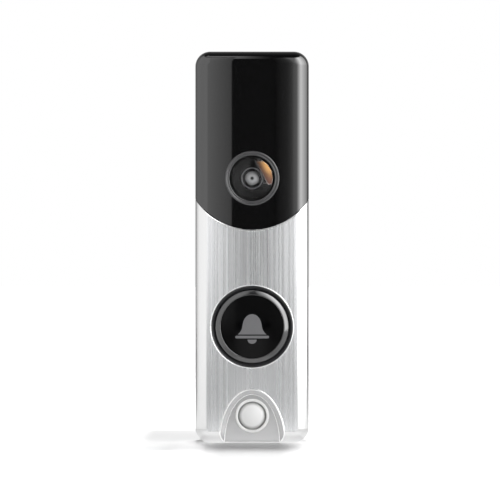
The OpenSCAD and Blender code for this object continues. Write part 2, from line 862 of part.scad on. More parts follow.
module button_leds() color([0.95, 0.95, 0.80]) for (turn = [0 : 45 : 359])
    block(led_ring * cos(turn), button_z + led_ring * sin(turn), 1.4, 1.4, board_front - 0.6, board_front);

module switch_body() color(matt_black) difference() {
    block(0, button_z, switch_w, switch_w, switch_front, board_front);
    bar(0, button_z, plunger_r + shank_fit, switch_front - 1, switch_front + 1.3 + button_travel);
}

module switch_plunger() color([0.85, 0.85, 0.83])
    bar(0, button_z, plunger_r, plunger_front, switch_front + 1.2);

module pir_ring() color(milk) turned(0, pir_z) difference() {
    union() {
        bead(pir_bore, pir_ring_r, arch_d - pir_proud, arch_d - pir_proud / 2, arch_d);
        strip(pir_bore, pir_sleeve_r, arch_d - eps, arch_floor + 0.5);
    }
    strip(0, pir_flange_r + shank_fit, pir_seat, arch_floor + 1);
}

module pir_lens() color(milk) turned(0, pir_z) {
    rim = pir_seat - 0.8;
    crown = rim - pir_rise;
    difference() {
        union() {
            intersection() {
                translate([0, crown + pir_sphere]) circle(pir_sphere);
                strip(0, pir_r, crown - 1, pir_seat + 0.7);
            }
            strip(0, pir_flange_r, pir_seat, pir_seat + 0.7);
        }
        intersection() {
            translate([0, crown + pir_sphere]) circle(pir_sphere - pir_wall);
            strip(0, pir_r - 0.6, crown, pir_seat + 1);
        }
    }
}

module pir_sensor() color(steel) difference() {
    union() {
        bar(0, pir_z, can_r, board_front - can_h, board_front);
        bar(0, pir_z, can_r + 0.5, board_front - 0.5, board_front);
    }
    block(0, pir_z, 4, 3, board_front - can_h - 1, board_front - can_h + 0.3);
}

// Cavity in the rear housing's back, with its skin: grow is the skin's thickness
module wire_pocket(grow) {
    block(0, pocket_z + pocket_h / 2, pocket_w + 2 * grow, pocket_h + 2 * grow,
        pocket_floor - grow, body_d - (grow > 0 ? wall / 2 : -1));
}

module hook_pockets(grow) {
    h = hook_reach + hook_lift + 1;
    for (x = [-1, 1]) translate([x * hook_x - hook_w / 2 - grow - 0.3,
        front_y + floor_d - hook_t - 2 * hook_gap - grow, slot_low - grow])
        cube([hook_w + 0.6 + 2 * grow, hook_t + 2 * hook_gap + (grow > 0 ? 2 * grow : 0), h + 2 * grow]);
}

module security_notch() {
    block(0, (notch_low + lug_low + lug_h + lug_gap) / 2, lug_w + 2 * lug_gap,
        lug_low + lug_h + lug_gap - notch_low, body_d - lug_d - lug_gap, body_d + 1);
}

// Walls round the security notch: they stop short of the covers, and run into the foot behind them
module notch_walls() {
    w = lug_w + 2 * lug_gap + 2 * pocket_skin;
    d = body_d - lug_d - lug_gap - pocket_skin;
    for (start = [[lip_inset, d], [wall / 2, max(d, housing_front)]])
        block(0, (start[0] + notch_top) / 2, w, notch_top - start[0], start[1], body_d - wall / 2);
}

// Way through the lip and its shoulder for the speaker's duct
module duct_window() {
    translate([half_w - lip_inset - lip_t - 1, front_y + duct_front - fit, speaker_z - duct_h / 2 - fit])
        cube([lip_inset + lip_t + 1 - wall, duct_t + fit, duct_h + 2 * fit]);
}

module housing_shell() {
    difference() {
        translate([0, 2 * front_y + body_d, 0]) mirror([0, 1, 0])
            slab(0, 0, body_d - housing_front, back_round);
        flat(housing_front - 1, floor_d) outline(wall);
    }
    // shoulder that carries the lip, and the lip inside the covers
    flat(housing_front, housing_front + shoulder_t) difference() {
        outline(wall / 2);
        outline(lip_inset + lip_t);
    }
    flat(cover_d - lip_reach, housing_front + shoulder_t) difference() {
        outline(lip_inset);
        outline(lip_inset + lip_t);
    }
}

module rear_housing() color(matt_black) difference() {
    union() {
        housing_shell();
        wire_pocket(pocket_wall);
        hook_pockets(pocket_skin);
        notch_walls();
        for (side = [-1, 1]) {
            for (z = standoff_z) bar(side * standoff_x, z, standoff_r, board_back, floor_d + eps);
            for (z = concat(cover_boss_z, window_boss_z))
                bar(side * boss_x, z, column_r, boss_end, floor_d + eps);
            bar(side * terminal_pitch / 2, terminal_z, post_r + 1.2, board_back + 0.8, pocket_floor);
        }
    }
    wire_pocket(0);
    hook_pockets(0);
    security_notch();
    mic_seal_space(fit);
    duct_window();
    for (side = [-1, 1]) {
        for (z = standoff_z)
            bar(side * standoff_x, z, board_screw_r + shank_fit, board_back - 1,
                board_back + board_screw_len + 0.3);
        for (z = concat(cover_boss_z, window_boss_z)) {
            bar(side * boss_x, z, cover_screw_r + fit, boss_end - 1, body_d);
            bar(side * boss_x, z, sink_r, cover_head_seat, body_d + 1);
        }
        bar(side * terminal_pitch / 2, terminal_z, post_r + shank_fit, board_back, body_d);
        // slots that the bracket's hooks go through
        translate([side * hook_x - hook_w / 2 - 0.3, front_y + floor_d - eps, slot_low])
            cube([hook_w + 0.6, wall + 1, slot_high - slot_low]);
    }
    // sound slots in the right-hand side
    for (i = [-2 : 2])
        translate([half_w - wall - 1, front_y + duct_front + duct_wall,
            speaker_z + i * slot_pitch - slot_h / 2]) cube([wall + 2, duct_t - 2 * duct_wall, slot_h]);
    // hole for the security screw
    translate([0, front_y + security_y, -1]) cylinder(r = security_screw_r + fit, h = notch_low + 2);
    security_sink();
}

module housing_gasket() color(rubber) difference() {
    flat(cover_d, housing_front) difference() {
        outline(0.5);
        outline(wall);
    }
    security_sink();
}

module housing_screws() color(steel) for (side = [-1, 1], z = concat(cover_boss_z, window_boss_z))
    screw(side * boss_x, z, cover_head_seat, cover_screw_len, cover_screw_r, cover_head_r, cover_head_t);

module terminal_posts() color(brass) for (side = [-1, 1]) difference() {
    bar(side * terminal_pitch / 2, terminal_z, post_r, board_back, pocket_floor);
    bar(side * terminal_pitch / 2, terminal_z, terminal_screw_r + shank_fit, board_back + 0.4, body_d);
}

module terminal_plates() color(steel) for (side = [-1, 1]) difference() {
    block(side * terminal_pitch / 2, terminal_z, terminal_plate_w, terminal_plate_w,
        pocket_floor, pocket_floor + terminal_plate_t);
    bar(side * terminal_pitch / 2, terminal_z, terminal_screw_r + fit, 0, body_d);
}

module terminal_screws() color(steel) for (side = [-1, 1])
    screw(side * terminal_pitch / 2, terminal_z, pocket_floor + terminal_plate_t,
        pocket_floor + terminal_plate_t - board_back - 0.6, terminal_screw_r, terminal_head_r,
        terminal_head_t);

module wall_bracket() color(matt_black) difference() {
    union() {
        flat(body_d, body_d + bracket_t) outline(bracket_inset);
        // upward hooks behind the rear housing's back wall
        for (x = [-1, 1]) translate([x * hook_x - hook_w / 2, front_y, hook_z]) {
            translate([0, floor_d - hook_gap - eps, 0]) cube([hook_w, wall + hook_gap + 2 * eps, hook_neck]);
            translate([0, floor_d - hook_gap - hook_t, 0]) cube([hook_w, hook_t, hook_reach]);
        }
        // lug that takes the security screw
        translate([-lug_w / 2, front_y + body_d - lug_d, lug_low]) cube([lug_w, lug_d + eps, lug_h]);
    }
    for (side = [-1, 1]) {
        z = body_h / 2 + side * wall_hole_pitch / 2;
        bar(0, z, wall_hole_r, body_d - 1, body_d + bracket_t + 1);
        cone(0, z, wall_sink_r, wall_hole_r, body_d, body_d + wall_sink_r - wall_hole_r);
    }
    block(0, pocket_z + pocket_h / 2, pocket_w - 2, pocket_h - 2, body_d - 1, body_d + bracket_t + 1);
    translate([0, front_y + security_y, lug_low - 1]) cylinder(r = insert_r + shank_fit, h = lug_h + 2);
    bracket_cores();
}

// Shallow cores in the bracket's back, between its rim, its ribs and the rings round its holes
module bracket_cores() {
    w = half_w - bracket_inset - bracket_rim - bracket_rib / 2;
    low = bracket_inset + bracket_rim + 1.4;
    high = body_h - low;
    opening = [pocket_z + 1 - bracket_rim, pocket_z + pocket_h - 1 + bracket_rim];
    for (span = [[low, opening[0]], [opening[1], high]]) {
        rows = round((span[1] - span[0]) / 12);
        pitch = (span[1] - span[0] + bracket_rib) / rows;
        difference() {
            for (side = [-1, 1], row = [0 : rows - 1])
                block(side * (w + bracket_rib) / 2, span[0] + row * pitch + (pitch - bracket_rib) / 2,
                    w, pitch - bracket_rib, body_d + bracket_t - bracket_core, body_d + bracket_t + 1);
            for (side = [-1, 1]) bar(0, body_h / 2 + side * wall_hole_pitch / 2, wall_sink_r + bracket_rim,
                body_d, body_d + bracket_t + 2);
        }
    }
}

module bracket_insert() color(brass) translate([0, front_y + security_y, lug_low]) difference() {
    cylinder(r = insert_r, h = lug_h);
    translate([0, 0, -1]) cylinder(r = security_screw_r + shank_fit, h = lug_h + 2);
}

module security_screw() color(steel) translate([0, front_y + security_y, security_head_z]) {
    difference() {
        cylinder(r = security_head_r, h = security_head_t);
        // six-lobed drive, as a plain hexagon
        translate([0, 0, -1]) cylinder(r = 1.1, h = 2, $fn = 6);
    }
    translate([0, 0, security_head_t - eps])
        cylinder(r = security_screw_r, h = lug_low + lug_h - security_head_z - security_head_t - 0.4);
}

front_cover();
camera_window();
camera_bezel();
camera_dome();
camera_baffle();
lens_barrel();
lens_front();
inner_lenses();
lens_holder();
image_sensor();
camera_board();
camera_screws();
camera_ribbon();
ribbon_connectors();
ir_leds();
light_sensor();
antenna();
main_board();
board_screws();
shield_can();
processor();
wifi_module();
power_inductor();
power_capacitors();
backup_cell();
speaker_box();
speaker_driver();
speaker_gasket();
microphone();
microphone_gasket();
button_bezel();
button_cap();
light_ring();
button_seal();
button_retainer();
retainer_screws();
light_guide();
button_leds();
switch_body();
switch_plunger();
pir_ring();
pir_lens();
pir_sensor();
rear_housing();
housing_gasket();
housing_screws();
terminal_posts();
terminal_plates();
terminal_screws();
wall_bracket();
bracket_insert();
security_screw();
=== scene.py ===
import math

import bmesh
import bpy
import numpy as np
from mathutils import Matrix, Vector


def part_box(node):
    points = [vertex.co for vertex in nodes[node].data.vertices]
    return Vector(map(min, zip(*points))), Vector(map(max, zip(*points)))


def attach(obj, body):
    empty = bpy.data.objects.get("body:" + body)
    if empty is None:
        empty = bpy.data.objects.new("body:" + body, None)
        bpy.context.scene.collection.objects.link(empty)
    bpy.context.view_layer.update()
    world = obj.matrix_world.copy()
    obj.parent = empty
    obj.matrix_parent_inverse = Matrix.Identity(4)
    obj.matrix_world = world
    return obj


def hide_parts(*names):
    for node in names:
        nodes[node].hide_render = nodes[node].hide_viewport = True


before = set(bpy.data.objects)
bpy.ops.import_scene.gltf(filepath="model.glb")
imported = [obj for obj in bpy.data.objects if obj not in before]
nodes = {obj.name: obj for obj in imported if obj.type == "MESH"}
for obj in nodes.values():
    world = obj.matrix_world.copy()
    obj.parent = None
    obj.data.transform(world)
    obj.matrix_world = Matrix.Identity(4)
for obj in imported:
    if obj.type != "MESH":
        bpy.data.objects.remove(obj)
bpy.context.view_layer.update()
mm = 0.001
scene = bpy.context.scene

# ---------------------------------------------------------------------------------------------
# Front cover: a drawn sheet-metal shell in satin nickel. Its face is brushed from top to bottom
# and very slightly crowned, and its rounded edges and the recess at the foot are left smooth.

face_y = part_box("front_cover")[0].y
half_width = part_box("front_cover")[1].x
body_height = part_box("rear_housing")[1].z
corner_radius = 5.0 * mm
edge_radius = 4.2 * mm
flat_half = half_width - edge_radius
crown_slope = 0.061
# The arch of the recess, in millimetres. Its side runs inwards by the run as it falls by the fall.
arch_half, arch_height = 11.0, 18.1
arch_run, arch_fall = 1.8, 2.2


def face_normals(co):
    """Normal of the body's rounded front over each point: the outline's own direction, turned from
    straight ahead to sideways as the sine of the distance into the rounded edge over its radius.
    With it comes the depth of that front behind the flat face."""
    reach_x = np.abs(co[:, 0]) - (half_width - corner_radius)
    reach_z = np.abs(co[:, 2] - body_height / 2) - (body_height / 2 - corner_radius)
    both = (reach_x > 0) & (reach_z > 0)
    along_x = np.where(both, reach_x, np.where(reach_x >= reach_z, 1.0, 0.0))
    along_z = np.where(both, reach_z, np.where(reach_x >= reach_z, 0.0, 1.0))
    length = np.hypot(along_x, along_z)
    reach = np.where(both, length, np.maximum(reach_x, reach_z))
    sine = np.clip((reach - (corner_radius - edge_radius)) / edge_radius, 0.0, 1.0)
    cosine = np.sqrt(1.0 - sine**2)
    side = np.sign(co[:, 0]) * along_x / length * sine
    up = np.sign(co[:, 2] - body_height / 2) * along_z / length * sine
    depth = edge_radius * (1.0 - cosine)
    return np.stack([side, -cosine, up], axis=1), depth


def values_of(items, attribute, columns=1, kind=float):
    """One attribute of all the items of a mesh, as an array."""
    values = np.empty(len(items) * columns, kind)
    items.foreach_get(attribute, values)
    return values.reshape(-1, columns) if columns > 1 else values


def linked(name, mesh, body):
    """An object for a mesh that rides on a body."""
    piece = bpy.data.objects.new(name, mesh)
    scene.collection.objects.link(piece)
    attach(piece, body)
    return piece


def smoothed(mesh, sharp):
    """Smooth shading over every edge that turns by less than an angle in degrees."""
    mesh.polygons.foreach_set("use_smooth", np.ones(len(mesh.polygons), bool))
    mesh.set_sharp_from_angle(angle=math.radians(sharp))


def dressed_copy(node, body):
    """A merged copy of a CAD node. Its rounded front takes the form's own normals, so that the long
    facets don't show, and all else is smooth over edges of less than 50 degrees."""
    bm = bmesh.new()
    bm.from_mesh(nodes[node].data)
    bmesh.ops.remove_doubles(bm, verts=bm.verts, dist=1e-6)
    bmesh.ops.recalc_face_normals(bm, faces=bm.faces)
    mesh = bpy.data.meshes.new(node + "_shell")
    bm.to_mesh(mesh)
    bm.free()
    smoothed(mesh, 50)
    corner_vertex = values_of(mesh.loops, "vertex_index", kind=np.int64)
    normals = values_of(mesh.corner_normals, "vector", 3)
    corners_of_face = values_of(mesh.polygons, "loop_total", kind=np.int64)
    facing = np.repeat(values_of(mesh.polygons, "normal", 3), corners_of_face, axis=0)
    # A corner takes the form's normal where it lies on that form and its facet looks nearly that way.
    co = values_of(mesh.vertices, "co", 3)
    ideal, depth = face_normals(co)
    on_front = (np.abs(co[:, 1] - face_y - depth) < 0.03 * mm)[corner_vertex]
    ideal = ideal[corner_vertex]
    ideal_holds = on_front & ((facing * ideal).sum(axis=1) > 0.93)
    ideal = np.where(ideal_holds[:, None], ideal, facing)
    straight = ideal_holds | (np.abs(facing).max(axis=1) > 0.9999)
    normals = np.where(straight[:, None], ideal, normals)
    mesh.normals_split_custom_set(normals.tolist())
    piece = linked(node + "_shell", mesh, body)
    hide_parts(node)
    return piece


def add(tree, kind, inputs=(), **settings):
    """One shader node, with its settings and its inputs, which are values or other nodes' sockets."""
    made = tree.nodes.new(kind)
    for name, value in settings.items():
        setattr(made, name, value)
    for name, value in dict(inputs).items():
        if isinstance(value, bpy.types.NodeSocket):
            tree.links.new(value, made.inputs[name])
        else:
            made.inputs[name].default_value = value
    return made


def calc(tree, operation, *values, clamp=False):
    """The result of one sum on values or sockets."""
    made = add(tree, "ShaderNodeMath", enumerate(values), operation=operation, use_clamp=clamp)
    return made.outputs[0]


def product(tree, first, *others):
    """First times each of the others."""
    for other in others:
        first = calc(tree, "MULTIPLY", first, other)
    return first


def ramp(tree, value, low, high, to_low=0.0, to_high=1.0, smooth=True):
    """A value that goes from one level at low to another at high, and stays level beyond them."""
    kind = "SMOOTHSTEP" if smooth else "LINEAR"
    made = add(tree, "ShaderNodeMapRange", {"Value": value, "From Min": low, "From Max": high,
               "To Min": to_low, "To Max": to_high}, interpolation_type=kind)
    return made.outputs["Result"]


def blend(tree, share, first, second):
    """The first colour where the share is 0, the second where it is 1."""
    made = add(tree, "ShaderNodeMix", {"Factor": share, "A": first, "B": second}, data_type="RGBA")
    return made.outputs["Result"]


def vector(tree, operation, *values):
    """The result of one sum on vectors."""
    made = add(tree, "ShaderNodeVectorMath", enumerate(values), operation=operation)
    return made.outputs["Value" if operation == "DOT_PRODUCT" else "Vector"]


def object_place(tree):
    """The place on the piece, in its own frame and in metres."""
    return add(tree, "ShaderNodeTexCoord").outputs["Object"]


def object_axes(tree):
    """X, Y and Z of the place on the piece."""
    return add(tree, "ShaderNodeSeparateXYZ", {0: object_place(tree)}).outputs


def new_group(name, *sockets):
    """A node group with named inputs (colour or value, with a start value) and named outputs."""
    group = bpy.data.node_groups.new(name, "ShaderNodeTree")
    for label, direction, kind, value in sockets:
        made = group.interface.new_socket(label, in_out=direction, socket_type="NodeSocket" + kind)
        if value is not None:
            made.default_value = value
    return group, group.nodes.new("NodeGroupInput").outputs, group.nodes.new("NodeGroupOutput")


finish_sockets = [("Color", "OUTPUT", "Color", None), ("Roughness", "OUTPUT", "Float", None),
                  ("Normal", "OUTPUT", "Vector", None)]


def close_finish(group, given, out, swing, change, **under):
    """A swing about zero becomes a group's outputs: the colour times one plus the swing's shade, the
    roughness plus its change, and a bump of its height over the normal that is under it, if any."""
    shade = calc(group, "MULTIPLY_ADD", swing, given["Shade"], 1.0)
    colour = add(group, "ShaderNodeVectorMath", {0: given["Color"], "Scale": shade}, operation="SCALE")
    rough = calc(group, "MULTIPLY_ADD", swing, change, given["Roughness"], clamp=True)
    bump = add(group, "ShaderNodeBump", {"Height": product(group, swing, given["Height"]),
               "Distance": 1.0, "Strength": 1.0, **under})
    for label, socket in (("Color", colour.outputs[0]), ("Roughness", rough), ("Normal", bump.outputs[0])):
        group.links.new(socket, out.inputs[label])


def build_crown():
    """The face is crowned by less than half a millimetre from side to side. Its normals lean sideways
    by the slope times the share of the way from the middle to the rounded edge, more so by the edge
    lean over its last millimetre, and the lean fades out again over that edge."""
    group, given, out = new_group(
        "face_crown", ("Slope", "INPUT", "Float", 0.06), ("Flat half width", "INPUT", "Float", 0.015),
        ("Half width", "INPUT", "Float", 0.019), ("Edge lean", "INPUT", "Float", 0.0),
        ("Normal", "OUTPUT", "Vector", None))
    x = object_axes(group)["X"]
    share = calc(group, "DIVIDE", x, given["Flat half width"])
    share = calc(group, "MINIMUM", calc(group, "MAXIMUM", share, -1.0), 1.0)
    fade = ramp(group, calc(group, "ABSOLUTE", x), given["Flat half width"], given["Half width"], 1.0, 0.0)
    near_edge = ramp(group, calc(group, "ABSOLUTE", share), 0.93, 1.0)
    share = product(group, share, calc(group, "MULTIPLY_ADD", near_edge, given["Edge lean"], 1.0))
    facing = add(group, "ShaderNodeNewGeometry").outputs["Normal"]
    ahead = vector(group, "DOT_PRODUCT", facing, (0, -1, 0))
    ahead = calc(group, "POWER", calc(group, "MAXIMUM", ahead, 0.0), 2.0)
    lean = product(group, share, given["Slope"], fade, ahead)
    side = add(group, "ShaderNodeCombineXYZ", {"X": lean}).outputs[0]
    bent = vector(group, "NORMALIZE", vector(group, "ADD", facing, side))
    group.links.new(bent, out.inputs["Normal"])
    return group


def build_streaks():
    """Brush lines: noise drawn out along Z by two lengths, as a shade, a roughness and a height,
    wherever the mask lets them through."""
    group, given, out = new_group(
        "brush_lines", ("Color", "INPUT", "Color", (0.7, 0.7, 0.7, 1)), ("Roughness", "INPUT", "Float", 0.2),
        ("Shade", "INPUT", "Float", 0.1), ("Height", "INPUT", "Float", 0.00001),
        ("Mask", "INPUT", "Float", 1.0), ("Normal", "INPUT", "Vector", None), *finish_sockets)
    place = object_place(group)
    lines = []
    for across, along in ((2600.0, 9.0), (1000.0, 2.5)):
        noise = add(group, "ShaderNodeTexNoise", {
            "Vector": vector(group, "MULTIPLY", place, (across, across, along)), "Scale": 1.0, "Detail": 3.0,
            "Roughness": 0.6}, noise_dimensions="3D")
        lines.append(calc(group, "SUBTRACT", noise.outputs["Fac"], 0.5))
    swing = calc(group, "ADD", lines[0], product(group, lines[1], 0.7))
    close_finish(group, given, out, product(group, swing, given["Mask"]), 0.12, Normal=given["Normal"])
    return group


def crowned(tree, edge_lean=0.0):
    """The crowned normal of the front, for one material."""
    made = add(tree, "ShaderNodeGroup", {"Slope": crown_slope, "Flat half width": flat_half,
               "Half width": half_width, "Edge lean": edge_lean}, node_tree=face_crown)
    return made.outputs["Normal"]


def new_material(name):
    """A material, its node tree and its shader."""
    made = bpy.data.materials.new(name)
    made.use_nodes = True
    return made, made.node_tree, made.node_tree.nodes["Principled BSDF"]


def link_finish(tree, finish, shader):
    """Gives a finish's colour, roughness and normal to the shader."""
    for given, taken in (("Color", "Base Color"), ("Roughness", "Roughness"), ("Normal", "Normal")):
        tree.links.new(finish.outputs[given], shader.inputs[taken])


def put_on(material, *pieces):
    """Makes it the only material of each piece."""
    for piece in pieces:
        piece.data.materials.clear()
        piece.data.materials.append(material)


face_crown = build_crown()
brush_lines = build_streaks()
front_metal, tree, shader = new_material("brushed_nickel")
axes = object_axes(tree)
across = calc(tree, "ABSOLUTE", axes["X"])
on_face = ramp(tree, across, flat_half + 0.6 * mm, flat_half - 0.2 * mm)
above_foot = ramp(tree, axes["Z"], edge_radius, edge_radius + 0.15 * mm)
# Inside the arch, x and z over the arch's half width and height, less its run at that depth, have
# squares that add up to less than one.
inset = product(tree, calc(tree, "SUBTRACT", axes["Y"], face_y), arch_run / arch_fall)
arch_x = calc(tree, "DIVIDE", axes["X"], calc(tree, "SUBTRACT", arch_half * mm, inset))
arch_z = calc(tree, "DIVIDE", axes["Z"], calc(tree, "SUBTRACT", arch_height * mm, inset))
arch_reach = calc(tree, "ADD", calc(tree, "POWER", arch_x, 2.0), calc(tree, "POWER", arch_z, 2.0))
outside_arch = ramp(tree, arch_reach, 1.01, 1.02)
brushed = product(tree, on_face, above_foot, outside_arch)
recess = calc(tree, "SUBTRACT", 1.0, outside_arch)
edge_metal, face_metal = (0.60, 0.60, 0.60, 1), (0.775, 0.783, 0.794, 1)
# Painted shade: the sloping side of the recess is painted darker than the recess floor.
painted_shade_slope, floor_metal = (0.36, 0.36, 0.362, 1), (0.51, 0.51, 0.513, 1)
recess_floor = face_y + arch_fall * mm
sunk = ramp(tree, axes["Y"], recess_floor - 0.1 * mm, recess_floor - 0.05 * mm)
colour = blend(tree, brushed, edge_metal, face_metal)
colour = blend(tree, recess, colour, blend(tree, sunk, painted_shade_slope, floor_metal))
rough = calc(tree, "MULTIPLY_ADD", recess, 0.16, 0.16)
rough = calc(tree, "MULTIPLY_ADD", brushed, 0.108, rough)
depth_of_lines = ramp(tree, axes["Z"], 25 * mm, 55 * mm, 0.5, 1.0)
lines = add(tree, "ShaderNodeGroup", {
    "Color": colour, "Roughness": rough, "Shade": 0.4, "Height": 0.0035 * mm,
    "Mask": product(tree, brushed, depth_of_lines), "Normal": crowned(tree, edge_lean=0.45)},
    node_tree=brush_lines)
link_finish(tree, lines, shader)
shader.inputs["Metallic"].default_value = 1.0

front_cover = dressed_copy("front_cover", "body")
put_on(front_metal, front_cover)

# ---------------------------------------------------------------------------------------------
# Burnished lines: the arch's rim, the foot of its sloping side, the lower edge of its floor and the
# edge under the window were burnished after brushing, and shine as narrow rounded lines of nickel.

low_edge_height, low_edge_depth = 0.55, 2.21
seam_radius, seam_height = 23.62, 94.6


def burnished(name, depth_share, width, rise):
    """A narrow bead swept along the half ellipse of the arch at a share of its fall: near the foot it
    follows the rounded edge, whose depth at height z is R - sqrt(R^2 - (R - z)^2). The ellipse and
    the depth hang on each other, so they are worked out in turns until they settle."""
    radius = edge_radius / mm
    turn = np.linspace(0.02, math.pi - 0.02, 181)
    depth = np.full(turn.shape, arch_fall * depth_share)
    for _ in range(12):
        inset = arch_run * depth / arch_fall
        x, z = (arch_half - inset) * np.cos(turn), (arch_height - inset) * np.sin(turn)
        fillet = radius - np.sqrt(radius**2 - np.clip(radius - z, 0, radius)**2)
        depth = np.clip(np.maximum(fillet, arch_fall * depth_share), 0, arch_fall)
    keep = z > low_edge_height
    x, z, depth, turn, inset = x[keep], z[keep], depth[keep], turn[keep], inset[keep]
    out_x, out_z = np.cos(turn) / (arch_half - inset), np.sin(turn) / (arch_height - inset)
    length = np.hypot(out_x, out_z)
    return swept(name, x, z, depth, out_x / length, out_z / length, width, rise)


def swept(name, x, z, depth, out_x, out_z, width, rise):
    """A closed bead through points on the front, with its width along the outward direction given for
    each point: its section is a half ellipse."""
    section = np.radians(np.linspace(-30, 210, 13))
    across, proud = width / 2 * np.cos(section), rise * np.sin(section)
    co = np.stack([x[:, None] + out_x[:, None] * across, face_y / mm + depth[:, None] - proud,
                   z[:, None] + out_z[:, None] * across], axis=2) * mm
    rows, columns = co.shape[:2]
    row, column = np.meshgrid(np.arange(rows - 1), np.arange(columns), indexing="ij")
    beside = (column + 1) % columns
    faces = np.stack([row * columns + column, row * columns + beside, (row + 1) * columns + beside,
                      (row + 1) * columns + column], axis=2)
    ends = [list(range(columns))[::-1], list(range((rows - 1) * columns, rows * columns))]
    return finished(name, co, faces, "body", ends=ends, sharp=60)


def finished(name, co, faces, body, stands_for=(), ends=(), sharp=40):
    """Makes a mesh of points, four-cornered faces and end faces, closes its poles, turns its faces
    outwards, sets its sharp edges and hands the piece to the frame."""
    mesh = bpy.data.meshes.new(name)
    mesh.from_pydata(co.reshape(-1, 3).tolist(), [], faces.reshape(-1, 4).tolist() + list(ends))
    bm = bmesh.new()
    bm.from_mesh(mesh)
    bmesh.ops.remove_doubles(bm, verts=bm.verts, dist=1e-7)
    bmesh.ops.dissolve_degenerate(bm, edges=bm.edges, dist=1e-7)
    bmesh.ops.recalc_face_normals(bm, faces=bm.faces)
    bm.to_mesh(mesh)
    bm.free()
    smoothed(mesh, sharp)
    piece = linked(name, mesh, body)
    if stands_for:
        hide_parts(*stands_for)
    return piece


rim_line = burnished("arch_rim_line", 0.0, 0.42, 0.07)
foot_line = burnished("arch_foot_line", 0.97, 0.3, 0.06)
low_x = np.linspace(-8.6, 8.6, 25)
level = np.ones(25)
lower_line = swept("arch_lower_line", low_x, low_edge_height * level, low_edge_depth * level,
                   0.0 * level, level, 0.36, 0.05)
seam_turn = np.radians(np.linspace(-38, 38, 61))
seam_x, seam_z = seam_radius * np.sin(seam_turn), seam_height - seam_radius * np.cos(seam_turn)
seam_line = swept("seam_edge_line", seam_x, seam_z, 0.0 * seam_turn, -np.sin(seam_turn),
                  np.cos(seam_turn), 0.42, 0.08)

# ---------------------------------------------------------------------------------------------
# Camera window: the upper cover, moulded in gloss black plastic that lets infrared light through
# to the camera's lamps. It follows the same crowned front and meets the metal on a round arc.


def build_grain():
    """Moulding grain: noise of one size as a slight change of shade and roughness, and as a height."""
    group, given, out = new_group(
        "moulding_grain", ("Color", "INPUT", "Color", (0.5, 0.5, 0.5, 1)),
        ("Roughness", "INPUT", "Float", 0.4), ("Scale", "INPUT", "Float", 2000.0),
        ("Shade", "INPUT", "Float", 0.1), ("Roughness change", "INPUT", "Float", 0.1),
        ("Height", "INPUT", "Float", 0.00001), *finish_sockets)
    noise = add(group, "ShaderNodeTexNoise", {"Vector": object_place(group), "Scale": given["Scale"],
                "Detail": 2.0})
    swing = calc(group, "SUBTRACT", noise.outputs["Fac"], 0.5)
    close_finish(group, given, out, swing, given["Roughness change"])
    return group


moulding_grain = build_grain()


def grained(name, colour, roughness, size=0.3, shade=0.12, change=0.08, height=0.002, **sockets):
    """A material with the moulding grain: size and height of the grain are in millimetres, and what
    is the same all over the surface is set on the shader's own sockets."""
    made, tree, shader = new_material(name)
    grain = add(tree, "ShaderNodeGroup", {
        "Color": (*colour, 1), "Roughness": roughness, "Scale": 1.0 / (size * mm), "Shade": shade,
        "Roughness change": change, "Height": height * mm}, node_tree=moulding_grain)
    link_finish(tree, grain, shader)
    for label, value in sockets.items():
        shader.inputs[label.replace("_", " ")].default_value = value
    return made


polished = grained("burnished_nickel", (0.80, 0.80, 0.80), 0.16, size=0.3, shade=0.06, change=0.05,
                   height=0.0, Metallic=1.0)
put_on(polished, rim_line, foot_line, lower_line, seam_line)

window_black = grained("gloss_window", (0.0032, 0.0032, 0.0034), 0.03, size=6, shade=0.1, change=0.02,
                       height=0.0, IOR=1.75)
tree = window_black.node_tree
tree.links.new(crowned(tree), tree.nodes["Principled BSDF"].inputs["Normal"])
camera_window = dressed_copy("camera_window", "body")
put_on(window_black, camera_window)

# ---------------------------------------------------------------------------------------------
# Camera bezel: a dark grey moulded ring that frames the camera, turned about the lens. Its sleeve
# goes through the window, and the clear dome is seated in it from behind.


def centre_of(node):
    """Middle of a CAD node, across and up."""
    low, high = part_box(node)
    return (low.x + high.x) / 2, (low.z + high.z) / 2


camera_at = centre_of("camera_bezel")
# Steps round a turned piece.
turns = 160


def arc(radius_at, depth_at, radius, start, end, steps=24):
    """Points of an arc in a turned profile: centre plus radius times the cosine (across) and the sine
    (in depth) of an angle that runs from start to end, in degrees."""
    angle = np.radians(np.linspace(start, end, steps))
    return np.stack([radius_at + radius * np.cos(angle), depth_at + radius * np.sin(angle)], axis=1)


def bead(inner, outer, crown_at, edge_at, steps=24):
    """Arc of a rounded ring from its inner to its outer edge, over its crown."""
    half = (outer - inner) / 2
    rise = edge_at - crown_at
    radius = (half**2 + rise**2) / (2 * rise)
    reach = np.linspace(-half, half, steps)
    return np.stack([inner + half + reach, crown_at + radius - np.sqrt(radius**2 - reach**2)], axis=1)


def turned(name, profile, centre, body, stands_for=(), sharp=40):
    """A turned piece: each point of the profile (radius and depth behind the flat face, in
    millimetres) goes round the centre, and the last point joins the first."""
    profile = np.vstack([np.asarray(part, float).reshape(-1, 2) for part in profile]) * mm
    angle = np.linspace(0, 2 * math.pi, turns, endpoint=False)
    radius, depth = profile[:, :1], profile[:, 1:]
    co = np.stack([centre[0] + radius * np.cos(angle), face_y + depth + 0 * angle,
                   centre[1] + radius * np.sin(angle)], axis=2)
    rows = len(profile)
    row, column = np.meshgrid(np.arange(rows), np.arange(turns), indexing="ij")
    next_row, next_column = (row + 1) % rows, (column + 1) % turns
    faces = np.stack([row * turns + column, next_row * turns + column, next_row * turns + next_column,
                      row * turns + next_column], axis=2)
    return finished(name, co, faces, body, stands_for, sharp=sharp)


